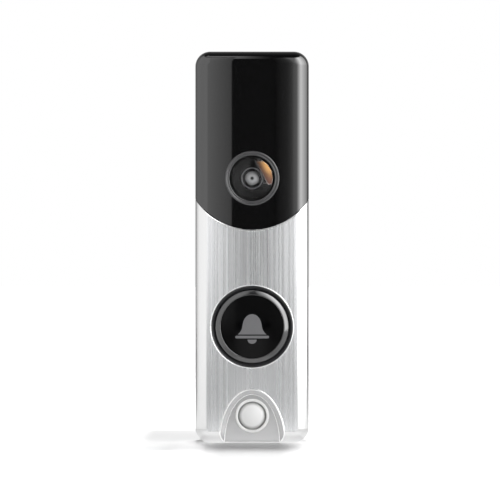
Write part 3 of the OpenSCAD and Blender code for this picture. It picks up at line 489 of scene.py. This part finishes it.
camera_bezel = turned("camera_bezel_ring", [
    bead(7.6, 8.05, -0.22, -0.12, 12), (8.2, -0.12), bead(8.32, 9.1, -0.5, -0.22, 16), (9.1, 0), (8.5, 0),
    (8.5, 3.6), (8.0, 3.6), (8.0, 1.85), (7.6, 1.85)], camera_at, "body", ["camera_bezel"])
put_on(grained("bezel_grey", (0.053, 0.053, 0.055), 0.25, size=0.25, height=0.001), camera_bezel)

# ---------------------------------------------------------------------------------------------
# Dome, baffle and lens: a clear moulded dome over a matt black light trap, and behind its hole
# the lens barrel, its rim painted grey as a highlight, and the coated front glass, painted in rings
# of reflection and shade.

dome_rim, dome_rise, dome_wall = 7.5, 2.0, 1.0
dome_radius = (dome_rim**2 + dome_rise**2) / (2 * dome_rise)
dome_centre = dome_radius - 1.4
glass_rim = 2.45


def cap(radius, centre_at, rim, steps=40):
    """Arc of a sphere's cap from its crown on the axis out to a rim radius."""
    reach = np.linspace(0, rim, steps)
    return np.stack([reach, centre_at - np.sqrt(radius**2 - reach**2)], axis=1)


def off_centre(tree, centre):
    """How far a point is across, up and straight out from an axis that runs back through a centre."""
    axes = object_axes(tree)
    across = calc(tree, "SUBTRACT", axes["X"], centre[0])
    up = calc(tree, "SUBTRACT", axes["Z"], centre[1])
    squares = calc(tree, "ADD", calc(tree, "POWER", across, 2.0), calc(tree, "POWER", up, 2.0))
    return across, up, calc(tree, "SQRT", squares)


camera_dome = turned("camera_dome_shell", [
    cap(dome_radius, dome_centre, dome_rim), (7.5, 1.85), (7.9, 1.85), (7.9, 2.85), (6.6, 2.85),
    cap(dome_radius - dome_wall, dome_centre, 6.6)[::-1]], camera_at, "body", ["camera_dome"])
# Painted reflection: the coloured reflection of the lens's thin film is painted on as a patch of metal
# up to the right. It starts along a line that leans by 27 degrees and ends short of the rim, and goes
# from deep red-brown to amber, upwards and outwards.
dome_clear, tree, shader = new_material("dome_clear")
across, up, out_by = off_centre(tree, camera_at)
lean_x, lean_z = math.cos(math.radians(27)), math.sin(math.radians(27))
towards = calc(tree, "ADD", product(tree, across, lean_x), product(tree, up, lean_z))
painted_reflection_patch = product(tree, ramp(tree, towards, 3.0 * mm, 4.3 * mm), ramp(tree, out_by, 7.0 * mm, 6.7 * mm),
                 ramp(tree, up, -2.3 * mm, -1.6 * mm), ramp(tree, up, 6.4 * mm, 5.2 * mm))
reflection_warmth = product(tree, ramp(tree, up, -1.5 * mm, 4.0 * mm),
                 ramp(tree, towards, 4.0 * mm, 6.0 * mm, 0.1, 1.0))
reflection_tint = blend(tree, reflection_warmth, (0.030, 0.016, 0.013, 1), (0.100, 0.056, 0.022, 1))
tree.links.new(blend(tree, painted_reflection_patch, (0, 0, 0, 1), reflection_tint), shader.inputs["Base Color"])
tree.links.new(painted_reflection_patch, shader.inputs["Metallic"])
tree.links.new(ramp(tree, painted_reflection_patch, 0.0, 1.0, 0.10, 0.95), shader.inputs["Alpha"])
shader.inputs["Roughness"].default_value = 0.02
shader.inputs["Specular IOR Level"].default_value = 1.0
put_on(dome_clear, camera_dome)

groove_starts, groove_width = np.arange(4.9, 7.5, 0.52), 0.26
grooves = [[(r, 2.85), (r, 2.62), (r + groove_width, 2.62), (r + groove_width, 2.85)] for r in groove_starts]
camera_baffle = turned("camera_light_trap", [
    (3.7, 1.7), (4.4, 1.7), (4.4, 2.85), np.concatenate(grooves), (7.9, 2.85), (7.9, 3.45), (3.7, 3.45)],
    camera_at, "body", ["camera_baffle"])
trap_black = grained("light_trap_black", (0.015, 0.015, 0.0154), 0.5, size=0.15, height=0.004,
                     Specular_IOR_Level=0.1)
put_on(trap_black, camera_baffle)

lens_barrel = turned("camera_lens_barrel", [
    (2.5, 1.32), (2.5, 2.1), (2.05, 2.1), (2.05, 6.0), (3.6, 6.0), (3.6, 1.42),
    arc(3.4, 1.4, 0.2, 0, -90, 8), (3.3, 1.2), (3.22, 1.28), (2.62, 1.28)],
    camera_at, "body", ["lens_barrel"], sharp=50)
barrel_black, tree, shader = new_material("barrel_black")
# Painted highlight: the rounded rim is painted grey where the face is black, and it is also glossier.
rim_gloss_and_highlight = ramp(tree, off_centre(tree, camera_at)[2], 3.2 * mm, 3.3 * mm)
colour = blend(tree, rim_gloss_and_highlight, (0.012, 0.012, 0.013, 1), (0.17, 0.17, 0.18, 1))
tree.links.new(colour, shader.inputs["Base Color"])
tree.links.new(ramp(tree, rim_gloss_and_highlight, 0, 1, 0.4, 0.28), shader.inputs["Roughness"])
tree.links.new(ramp(tree, rim_gloss_and_highlight, 0, 1, 0.05, 0.5), shader.inputs["Specular IOR Level"])
put_on(barrel_black, lens_barrel)


def grey_bands(tree, share, stops, tint=(1, 1, 1)):
    """A tinted grey along a share from 0 to 1, between stops of a place and a level."""
    made = add(tree, "ShaderNodeValToRGB", {"Fac": share})
    elements = made.color_ramp.elements
    while len(elements) < len(stops):
        elements.new(0.5)
    for element, (at, level) in zip(elements, stops):
        element.position = at
        element.color = (level * tint[0], level * tint[1], level * tint[2], 1)
    return made.outputs["Color"]


lens_front = turned("camera_front_glass", [cap(4.6, 5.4, glass_rim, 24), (2.45, 1.5), (2.45, 2.1), (0, 2.1)],
                    camera_at, "body", ["lens_front"])
# Painted reflection and shade: the glass is painted in rings, dark as a pupil in the middle, bright grey
# round it and darker again out to its rim.
lens_glass, tree, shader = new_material("lens_glass")
share = ramp(tree, off_centre(tree, camera_at)[2], 0, glass_rim * mm, smooth=False)
bands = grey_bands(tree, share, [(0.0, 0.004), (0.17, 0.01), (0.26, 0.40), (0.4, 0.50), (0.65, 0.33),
                                 (0.86, 0.20), (0.96, 0.07), (1.0, 0.03)], tint=(1, 1.01, 1.03))
tree.links.new(bands, shader.inputs["Base Color"])
shader.inputs["Roughness"].default_value = 0.3
put_on(lens_glass, lens_front)

# ---------------------------------------------------------------------------------------------
# Button: a dark fixed bezel in the metal, and inside it the moving part: a smoked ring that lights
# up and, set in it, a gloss black face with a plain printed bell. The hole's rim is burnished.

button_at = button_x, button_z = centre_of("button_bezel")
button_bezel = turned("button_bezel_ring", [
    (12.4, 0.5), (12.46, 0.42), (13.2, -0.12), arc(13.34, 0.02, 0.22, -115, -20, 8), (13.6, 0.1),
    (13.6, 1.8), (14.7, 1.8), (15.5, 2.1), (15.6, 3.2), (12.4, 3.2)], button_at, "body",
    ["button_bezel"], sharp=50)
put_on(grained("bezel_dark", (0.025, 0.025, 0.0265), 0.22, size=0.3, height=0.001), button_bezel)
hole_rim = turned("button_hole_rim", [bead(13.64, 13.92, -0.07, 0.02, 12), (13.92, 0.08), (13.64, 0.08)],
                  button_at, "body")
rim_nickel = grained("rim_nickel", (0.8, 0.8, 0.8), 0.35, size=0.4, shade=0.05, height=0.0004, Metallic=1.0)
put_on(rim_nickel, hole_rim)

light_ring = turned("button_light_ring", [
    (10.5, -0.62), arc(10.72, -0.6, 0.2, -175, -72, 8), arc(9.12, 4.37, 5.43, -71.5, -58, 24),
    arc(11.98, -0.08, 0.22, -55, 0, 8), (12.2, 3.3), (13.3, 3.3), (13.3, 4.1), (9.6, 4.1), (9.6, 2.8),
    (10.5, 2.8)], button_at, "button", ["light_ring"])
ring_smoke = grained("light_ring_smoke", (0.016, 0.016, 0.017), 0.12, size=0.8, shade=0.06, change=0.03,
                     height=0.0004, IOR=1.8)
put_on(ring_smoke, light_ring)

button_cap = turned("button_face", [
    (0, -0.35), (10.3, -0.35), arc(10.3, -0.2, 0.15, -90, 0, 8), (10.45, 2.8), (9.4, 2.8), (9.4, 1.05),
    (1.7, 1.05), (1.7, 5.95), (0, 5.95)], button_at, "button", ["button_cap"])
face_black = grained("button_face_black", (0.0045, 0.0045, 0.0047), 0.08, size=1.5, shade=0.1, change=0.05,
                     height=0.0002, Specular_IOR_Level=0.1)
put_on(face_black, button_cap)

print_front, print_back = -0.36, -0.345


def printed(name, width_at, low, high, rows=40):
    """A flat print: across from minus to plus its half width at each height, as a thin closed strip.
    It lies on the button's face and stands 0.01 mm proud of it."""
    height = np.linspace(low, high, rows)
    half = width_at((height - low) / (high - low))
    middle, up = button_x / mm, button_z / mm + height
    corners = ((-1, print_front), (1, print_front), (1, print_back), (-1, print_back))
    co = np.stack([np.stack([middle + side * half, np.full(rows, depth), up], axis=1)
                   for side, depth in corners], axis=1) * mm
    co[:, :, 1] += face_y
    row, column = np.meshgrid(np.arange(rows - 1), np.arange(4), indexing="ij")
    turn = (column + 1) % 4
    faces = np.stack([row * 4 + column, row * 4 + turn, (row + 1) * 4 + turn, (row + 1) * 4 + column],
                     axis=2)
    ends = [[3, 2, 1, 0], [4 * rows - 4, 4 * rows - 3, 4 * rows - 2, 4 * rows - 1]]
    return finished(name, co, faces, "button", ends=ends)


def rounded(t):
    """Height of a quarter circle of radius 1 over a point t of its base."""
    return np.sqrt(np.clip(1 - t**2, 0, 1))


def bell_half(t):
    """A domed shoulder, and below it straight sides that flare out as the fifth power of (1 - t)."""
    return 0.02 + 3.1 * rounded(np.clip((t - 0.42) / 0.58, 0, 1)) + 1.7 * (1 - t)**5


print_grey = grained("print_grey", (0.13, 0.13, 0.135), 0.45, size=0.2, shade=0.15, height=0.0005)
put_on(print_grey,
       printed("bell_body", bell_half, -2.6, 4.2),
       printed("bell_rim", lambda t: 5.3 + 0.35 * rounded(2 * t - 1), -3.9, -3.0, 12),
       printed("bell_clapper", lambda t: 0.02 + 1.5 * rounded(1 - t), -5.7, -4.3, 16))

# ---------------------------------------------------------------------------------------------
# Motion sensor: a pale ring in the recess at the foot, and in it the milky lens, moulded in thin
# polyethylene that lets body heat through.

motion_at = centre_of("pir_ring")
pir_ring = turned("motion_ring", [
    bead(4.72, 5.7, 1.4, 1.75), (5.7, 2.2), (5.3, 2.2), (5.3, 4.2), (4.85, 4.2), (4.85, 3.0), (4.72, 3.0)],
    motion_at, "body", ["pir_ring"])
put_on(grained("ring_white", (0.88, 0.88, 0.87), 0.25, size=0.4, shade=0.04, height=0.0005), pir_ring)

milky_rim, milky_rise, milky_crown, milky_wall = 4.4, 1.3, 0.9, 0.6
milky_radius = (milky_rim**2 + milky_rise**2) / (2 * milky_rise)
milky_centre = milky_crown + milky_radius
pir_lens = turned("motion_lens", [
    cap(milky_radius, milky_centre, 4.2, 32), (4.3, 2.2), (4.3, 3.0), (4.85, 3.0), (4.85, 3.7), (3.8, 3.7),
    cap(milky_radius - milky_wall, milky_centre, 3.8, 32)[::-1]], motion_at, "body",
    ["pir_lens"])
lens_milk = grained("lens_milk", (0.86, 0.86, 0.855), 0.42, size=0.5, shade=0.03, height=0.0008)
tree = lens_milk.node_tree
base_colour = tree.nodes["Principled BSDF"].inputs["Base Color"]
out_by = off_centre(tree, motion_at)[2]
milky = base_colour.links[0].from_socket
# Painted shade: the lens is painted darker towards its rim, and darker still at its edge by the groove.
shaded = blend(tree, ramp(tree, out_by, 3.2 * mm, 4.3 * mm), milky, (0.46, 0.46, 0.455, 1))
shaded = blend(tree, ramp(tree, out_by, 4.1 * mm, 4.28 * mm), shaded, (0.40, 0.40, 0.395, 1))
tree.links.new(shaded, base_colour)
put_on(lens_milk, pir_lens)

# ---------------------------------------------------------------------------------------------
# Rear housing, gaskets and wall bracket: black plastic with a fine moulded texture, a silicone
# gasket in the joint to the covers, and a bracket that stays on the wall.

housing_black = grained("housing_texture", (0.022, 0.022, 0.023), 0.52, size=0.16, shade=0.25, change=0.15,
                        height=0.012)
bracket_black = grained("bracket_texture", (0.028, 0.028, 0.030), 0.58, size=0.22, shade=0.25, change=0.15,
                        height=0.016)
rubber_black = grained("silicone_black", (0.02, 0.02, 0.02), 0.7, size=0.3, height=0.006)


def put_on_nodes(material, *names):
    """Puts a material on CAD nodes that are shown as they are."""
    put_on(material, *(nodes[name] for name in names))


put_on(housing_black, dressed_copy("rear_housing", "body"))
put_on(bracket_black, dressed_copy("wall_bracket", "body"))
put_on_nodes(rubber_black, "housing_gasket", "button_seal", "speaker_gasket", "microphone_gasket")

# ---------------------------------------------------------------------------------------------
# Screws, terminals and the other metal parts: zinc-plated steel, nickel-plated steel and brass,
# drawn, stamped or turned.

zinc = grained("zinc_plate", (0.55, 0.56, 0.58), 0.32, size=0.12, shade=0.15, change=0.12, height=0.002,
               Metallic=1.0)
put_on_nodes(zinc, "camera_screws", "board_screws", "retainer_screws", "housing_screws", "security_screw")
nickel = grained("nickel_plate", (0.68, 0.66, 0.61), 0.24, size=0.15, shade=0.12, change=0.1, height=0.0015,
                 Metallic=1.0)
put_on_nodes(nickel, "terminal_plates", "terminal_screws", "pir_sensor")
brass = grained("turned_brass", (0.74, 0.55, 0.25), 0.25, size=0.1, shade=0.12, change=0.1, height=0.001,
                Metallic=1.0)
put_on_nodes(brass, "terminal_posts", "bracket_insert", "antenna")
tin = grained("tin_plate", (0.66, 0.67, 0.69), 0.3, size=0.4, shade=0.1, change=0.14, height=0.001,
              Metallic=1.0)
put_on_nodes(tin, "shield_can", "wifi_module", "microphone")
aluminium = grained("can_aluminium", (0.75, 0.76, 0.78), 0.3, size=0.2, shade=0.08, change=0.1, height=0.001,
                    Metallic=1.0)
put_on_nodes(aluminium, "power_capacitors")

# ---------------------------------------------------------------------------------------------
# Boards and what is soldered to them, the speaker, the light guide and the inner optics. They are
# closed in, and are finished for the views in which the covers are taken off.

board_green = grained("solder_mask", (0.02, 0.14, 0.07), 0.3, size=1.2, shade=0.35, change=0.1, height=0.004)
put_on_nodes(board_green, "main_board", "camera_board")
amber_flex = grained("polyimide", (0.42, 0.17, 0.03), 0.25, size=0.8, shade=0.15, height=0.001)
put_on_nodes(amber_flex, "camera_ribbon")
nylon = grained("natural_nylon", (0.70, 0.66, 0.55), 0.45, size=0.2, shade=0.06, height=0.002)
put_on_nodes(nylon, "ribbon_connectors", "switch_plunger")
epoxy = grained("lamp_epoxy", (0.55, 0.55, 0.50), 0.12, size=0.4, shade=0.1, height=0.0005)
put_on_nodes(epoxy, "ir_leds", "light_sensor", "button_leds")
chip = grained("chip_body", (0.03, 0.03, 0.032), 0.5, size=0.08, shade=0.3, height=0.003)
put_on_nodes(chip, "processor", "switch_body")
ferrite = grained("ferrite_body", (0.06, 0.06, 0.065), 0.6, size=0.15, shade=0.3, height=0.008)
put_on_nodes(ferrite, "power_inductor")
sleeve = grained("cell_sleeve", (0.12, 0.20, 0.34), 0.3, size=2.0, shade=0.08, height=0.003)
put_on_nodes(sleeve, "backup_cell")
paper = grained("speaker_cone", (0.09, 0.09, 0.095), 0.75, size=0.1, shade=0.3, height=0.01)
put_on_nodes(paper, "speaker_driver")
matt = grained("matt_moulding", (0.02, 0.02, 0.021), 0.5, size=0.18, shade=0.2, height=0.006)
put_on_nodes(matt, "speaker_box", "lens_holder", "button_retainer")
silicon = grained("sensor_silicon", (0.04, 0.05, 0.08), 0.12, size=0.3, shade=0.2, height=0.0002)
put_on_nodes(silicon, "image_sensor")
acrylic = grained("acrylic_guide", (0.92, 0.94, 0.95), 0.05, size=1.0, shade=0.02, height=0.0,
                  Transmission_Weight=1.0, IOR=1.49)
put_on_nodes(acrylic, "light_guide")
optic = grained("inner_glass", (0.92, 0.95, 0.97), 0.0, size=1.0, shade=0.01, change=0.0, height=0.0,
                Transmission_Weight=1.0, IOR=1.52)
put_on_nodes(optic, "inner_lenses")

# ---------------------------------------------------------------------------------------------
# Studio: a white floor inside a tent of light. The left wall ends in a sharp edge beside the camera,
# the right one starts softly and is brightest to the side, and between them it is dark. A panel
# stands above, and three lamps light what doesn't mirror the tent.

camera_distance, camera_height, camera_off_middle = 0.95, 0.06457, -0.0007
view_size = 0.1667
film_size = 36.0
sight = bpy.data.objects.new("camera", bpy.data.cameras.new("camera"))
scene.collection.objects.link(sight)
sight.location = (camera_off_middle, face_y - camera_distance, camera_height)
sight.rotation_euler = (math.pi / 2, 0, 0)
sight.data.sensor_width = film_size
sight.data.lens = film_size * camera_distance / view_size
sight.data.clip_end = 20.0
scene.camera = sight


def staged(name, points, faces):
    """A piece of the studio, which isn't part of the object."""
    mesh = bpy.data.meshes.new(name)
    mesh.from_pydata(points, [], faces)
    stand = bpy.data.objects.new(name, mesh)
    scene.collection.objects.link(stand)
    return stand


def total(tree, first, *others):
    """First plus each of the others."""
    for other in others:
        first = calc(tree, "ADD", first, other)
    return first


def mirror_rays(tree):
    """The light paths, and 1 for a ray that comes off gloss or through glass."""
    paths = add(tree, "ShaderNodeLightPath").outputs
    return paths, calc(tree, "MAXIMUM", paths["Is Glossy Ray"], paths["Is Transmission Ray"])


floor_half = 4.0
floor_corners = [(-floor_half, -floor_half, 0), (floor_half, -floor_half, 0), (floor_half, floor_half, 0),
                 (-floor_half, floor_half, 0)]
floor = staged("floor", floor_corners, [(0, 1, 2, 3)])
floor_white, tree, shader = new_material("floor_white")
tree.nodes.remove(shader)
axes = object_axes(tree)
across, back = axes["X"], axes["Y"]
off_middle = calc(tree, "ABSOLUTE", across)
distance = add(tree, "ShaderNodeVectorMath", {0: object_place(tree)}, operation="LENGTH").outputs["Value"]
paths, mirrored = mirror_rays(tree)

# What gloss and glass see of the floor: bright close to the foot, darker further out in front but
# for a strip down the middle, brighter with distance to the sides, dark behind the foot and bright
# again far behind it.
sideways = calc(tree, "DIVIDE", off_middle, distance)
to_side = product(tree, ramp(tree, sideways, 0.25, 0.55), ramp(tree, distance, 0.03, 0.07))
near = product(tree, ramp(tree, distance, 0.03, 0.09, 1.0, 0.0),
               ramp(tree, off_middle, 0.014, 0.03, 1.0, 0.3))
strip = product(tree, ramp(tree, sideways, 0.10, 0.04), ramp(tree, distance, 0.9, 0.6))
far = product(tree, ramp(tree, distance, 0.05, 0.09), calc(tree, "MULTIPLY_ADD", strip, 0.75, -0.5))
in_front = product(tree, calc(tree, "ADD", near, far), calc(tree, "SUBTRACT", 1.0, to_side),
                   ramp(tree, back, -0.010, -0.014, 0.75, 1.0))
beside = product(tree, ramp(tree, distance, 0.03, 0.10, -0.1, 0.55), to_side)
beside = calc(tree, "SUBTRACT", beside, ramp(tree, back, 0.03, 0.15, 0.0, 0.65))
beside = calc(tree, "ADD", beside, ramp(tree, back, 0.5, 1.2, 0.0, 0.9))

# What the camera sees of it: a glow that makes it white. The glow is low round the foot, so that the
# real shadow under it shows, and higher to its sides, more so to the right. A faint painted shadow
# that lies to the left of the foot dims it, less where the two meet.
seen = total(tree, ramp(tree, distance, 0.045, 0.16), ramp(tree, across, 0.008, 0.017, 0.0, 0.42),
             ramp(tree, across, -0.009, -0.017, 0.0, 0.17), ramp(tree, off_middle, 0.0145, 0.0175, 0.0, 0.2))
painted_shadow = product(tree, ramp(tree, across, -0.041, -0.034), ramp(tree, across, -0.012, -0.019),
               ramp(tree, back, -0.049, -0.040), ramp(tree, back, 0.075, 0.055))
at_foot = product(tree, ramp(tree, across, -0.028, -0.020), ramp(tree, back, 0.014, -0.004))
painted_shadow = product(tree, painted_shadow, calc(tree, "MULTIPLY_ADD", at_foot, -0.8, 1.0))
seen = product(tree, seen, calc(tree, "MULTIPLY_ADD", painted_shadow, -0.73, 1.0))

lift = calc(tree, "ADD", product(tree, paths["Is Camera Ray"], seen),
            product(tree, mirrored, calc(tree, "ADD", in_front, beside)))
diffuse = add(tree, "ShaderNodeBsdfDiffuse", {"Color": (0.8, 0.8, 0.8, 1)})
glow = add(tree, "ShaderNodeEmission", {"Color": (1, 1, 1, 1), "Strength": lift})
both = add(tree, "ShaderNodeAddShader", {0: diffuse.outputs[0], 1: glow.outputs[0]})
tree.links.new(both.outputs[0], tree.nodes["Material Output"].inputs["Surface"])
put_on(floor_white, floor)

tent_radius = 0.35


def tent_wall(name, foot, top, upper, lower, levels):
    """A wall of light between two heights: x is the tent's radius times the sine of the azimuth, and
    -y times its cosine. Its light is the level at the azimuth, times the upper share from 0.24 m
    upwards and, near the middle, times the lower share at the floor and one tenth more in a band
    round 0.06 m. It fades out towards its top."""
    start, end = levels[0][0], levels[-1][0]
    steps = 97
    azimuth = np.radians(np.linspace(start, end, steps))
    x, y = tent_radius * np.sin(azimuth), -tent_radius * np.cos(azimuth)
    co = np.concatenate([np.stack([x, y, np.full(steps, z)], axis=1) for z in (foot, top)])
    step = np.arange(steps - 1)
    faces = np.stack([step, step + 1, step + 1 + steps, step + steps], axis=1)
    wall = staged(name, co.tolist(), faces.tolist())
    wall.visible_camera = False
    wall.visible_diffuse = False
    wall.visible_shadow = False
    material, tree, shader = new_material(name + "_light")
    tree.nodes.remove(shader)
    axes = object_axes(tree)
    height = axes["Z"]
    azimuth = calc(tree, "ARCTAN2", axes["X"], product(tree, axes["Y"], -1.0))
    off_middle = calc(tree, "ABSOLUTE", azimuth)
    share = ramp(tree, product(tree, azimuth, 180 / math.pi), start, end, smooth=False)
    peak = max(level for at, level in levels)
    bands = grey_bands(tree, share, [((at - start) / (end - start), level / peak) for at, level in levels])
    fade = product(tree, ramp(tree, height, top, top * 0.75), ramp(tree, height, 0.14, 0.24, 1.0, upper))
    missing = calc(tree, "SUBTRACT", 1.0, ramp(tree, off_middle, 0.3, 0.48, lower, 1.0))
    low = calc(tree, "SUBTRACT", 1.0, ramp(tree, height, 0.005, 0.055))
    fade = product(tree, fade, calc(tree, "SUBTRACT", 1.0, product(tree, low, missing)))
    band = product(tree, ramp(tree, height, 0.03, 0.05), ramp(tree, height, 0.075, 0.065),
                   ramp(tree, off_middle, 0.2, 0.38, 1.0, 0.0))
    fade = product(tree, fade, calc(tree, "MULTIPLY_ADD", band, 0.1, 1.0))
    strength = product(tree, bands, fade, peak)
    glow = add(tree, "ShaderNodeEmission", {"Color": (1, 1, 1, 1), "Strength": strength})
    tree.links.new(glow.outputs[0], tree.nodes["Material Output"].inputs["Surface"])
    put_on(material, wall)


tent_wall("left_wall", 0.001, 0.78, 1.0, 0.0, [
    (-118, 0.9), (-87, 1.4), (-25, 1.5), (-12, 1.4), (-7.5, 0.85), (-4.6, 0.55)])
tent_wall("right_wall", 0.001, 0.75, 1.25, 0.05, [
    (5.0, 0.0), (6.4, 0.08), (7.8, 0.15), (8.5, 0.25), (9.1, 0.45), (9.7, 1.0), (15, 1.5), (21.7, 2.3),
    (46, 6.8), (55, 6.3), (66, 5.2), (77, 4.4), (90, 3.2), (110, 2.2)])
tent_wall("upper_panel", 0.5, 1.7, 1.0, 1.0, [
    (-70, 1.2), (-10, 1.3), (-5, 1.2), (0, 0.5), (4, 0.12), (8, 0.0)])

# Each lamp is 1 m from a point 0.06 m above the floor: its azimuth, elevation, size and power.
for name, azimuth, elevation, size, power in (
        ("key", 48, 12, 0.35, 6.0), ("fill", -40, 7, 0.6, 3.5), ("top", 180, 77, 0.18, 9.4)):
    lamp = bpy.data.lights.new(name, "AREA")
    lamp.size = size
    lamp.energy = power
    holder = bpy.data.objects.new(name, lamp)
    scene.collection.objects.link(holder)
    turn, tilt = math.radians(azimuth), math.radians(elevation)
    out_by = math.cos(tilt)
    holder.location = (out_by * math.sin(turn), -out_by * math.cos(turn), 0.06 + math.sin(tilt))
    holder.rotation_euler = (math.pi / 2 - tilt, 0, turn)
    holder.visible_glossy = False

# The world is white to the camera. To gloss and glass it goes from nearly dark in front to half as
# bright behind, with less overhead, and to all else it gives three tenths of that.
world = bpy.data.worlds.new("studio")
scene.world = world
world.use_nodes = True
tree = world.node_tree
tree.nodes.clear()
direction = add(tree, "ShaderNodeTexCoord").outputs["Generated"]
axes = add(tree, "ShaderNodeSeparateXYZ", {0: direction}).outputs
paths, mirrored = mirror_rays(tree)
strength = product(tree, ramp(tree, axes["Y"], -0.2, 0.5, 0.03, 0.5),
                   ramp(tree, axes["Z"], 0.5, 0.9, 1.0, 0.3), ramp(tree, mirrored, 0.0, 1.0, 0.3, 1.0))
studio = add(tree, "ShaderNodeBackground", {"Color": (1, 1, 1, 1), "Strength": strength})
white = add(tree, "ShaderNodeBackground", {"Color": (1, 1, 1, 1), "Strength": 1.0})
choice = add(tree, "ShaderNodeMixShader", {"Fac": paths["Is Camera Ray"], 1: studio.outputs[0],
             2: white.outputs[0]})
add(tree, "ShaderNodeOutputWorld", {"Surface": choice.outputs[0]})

scene.view_settings.view_transform = "Standard"
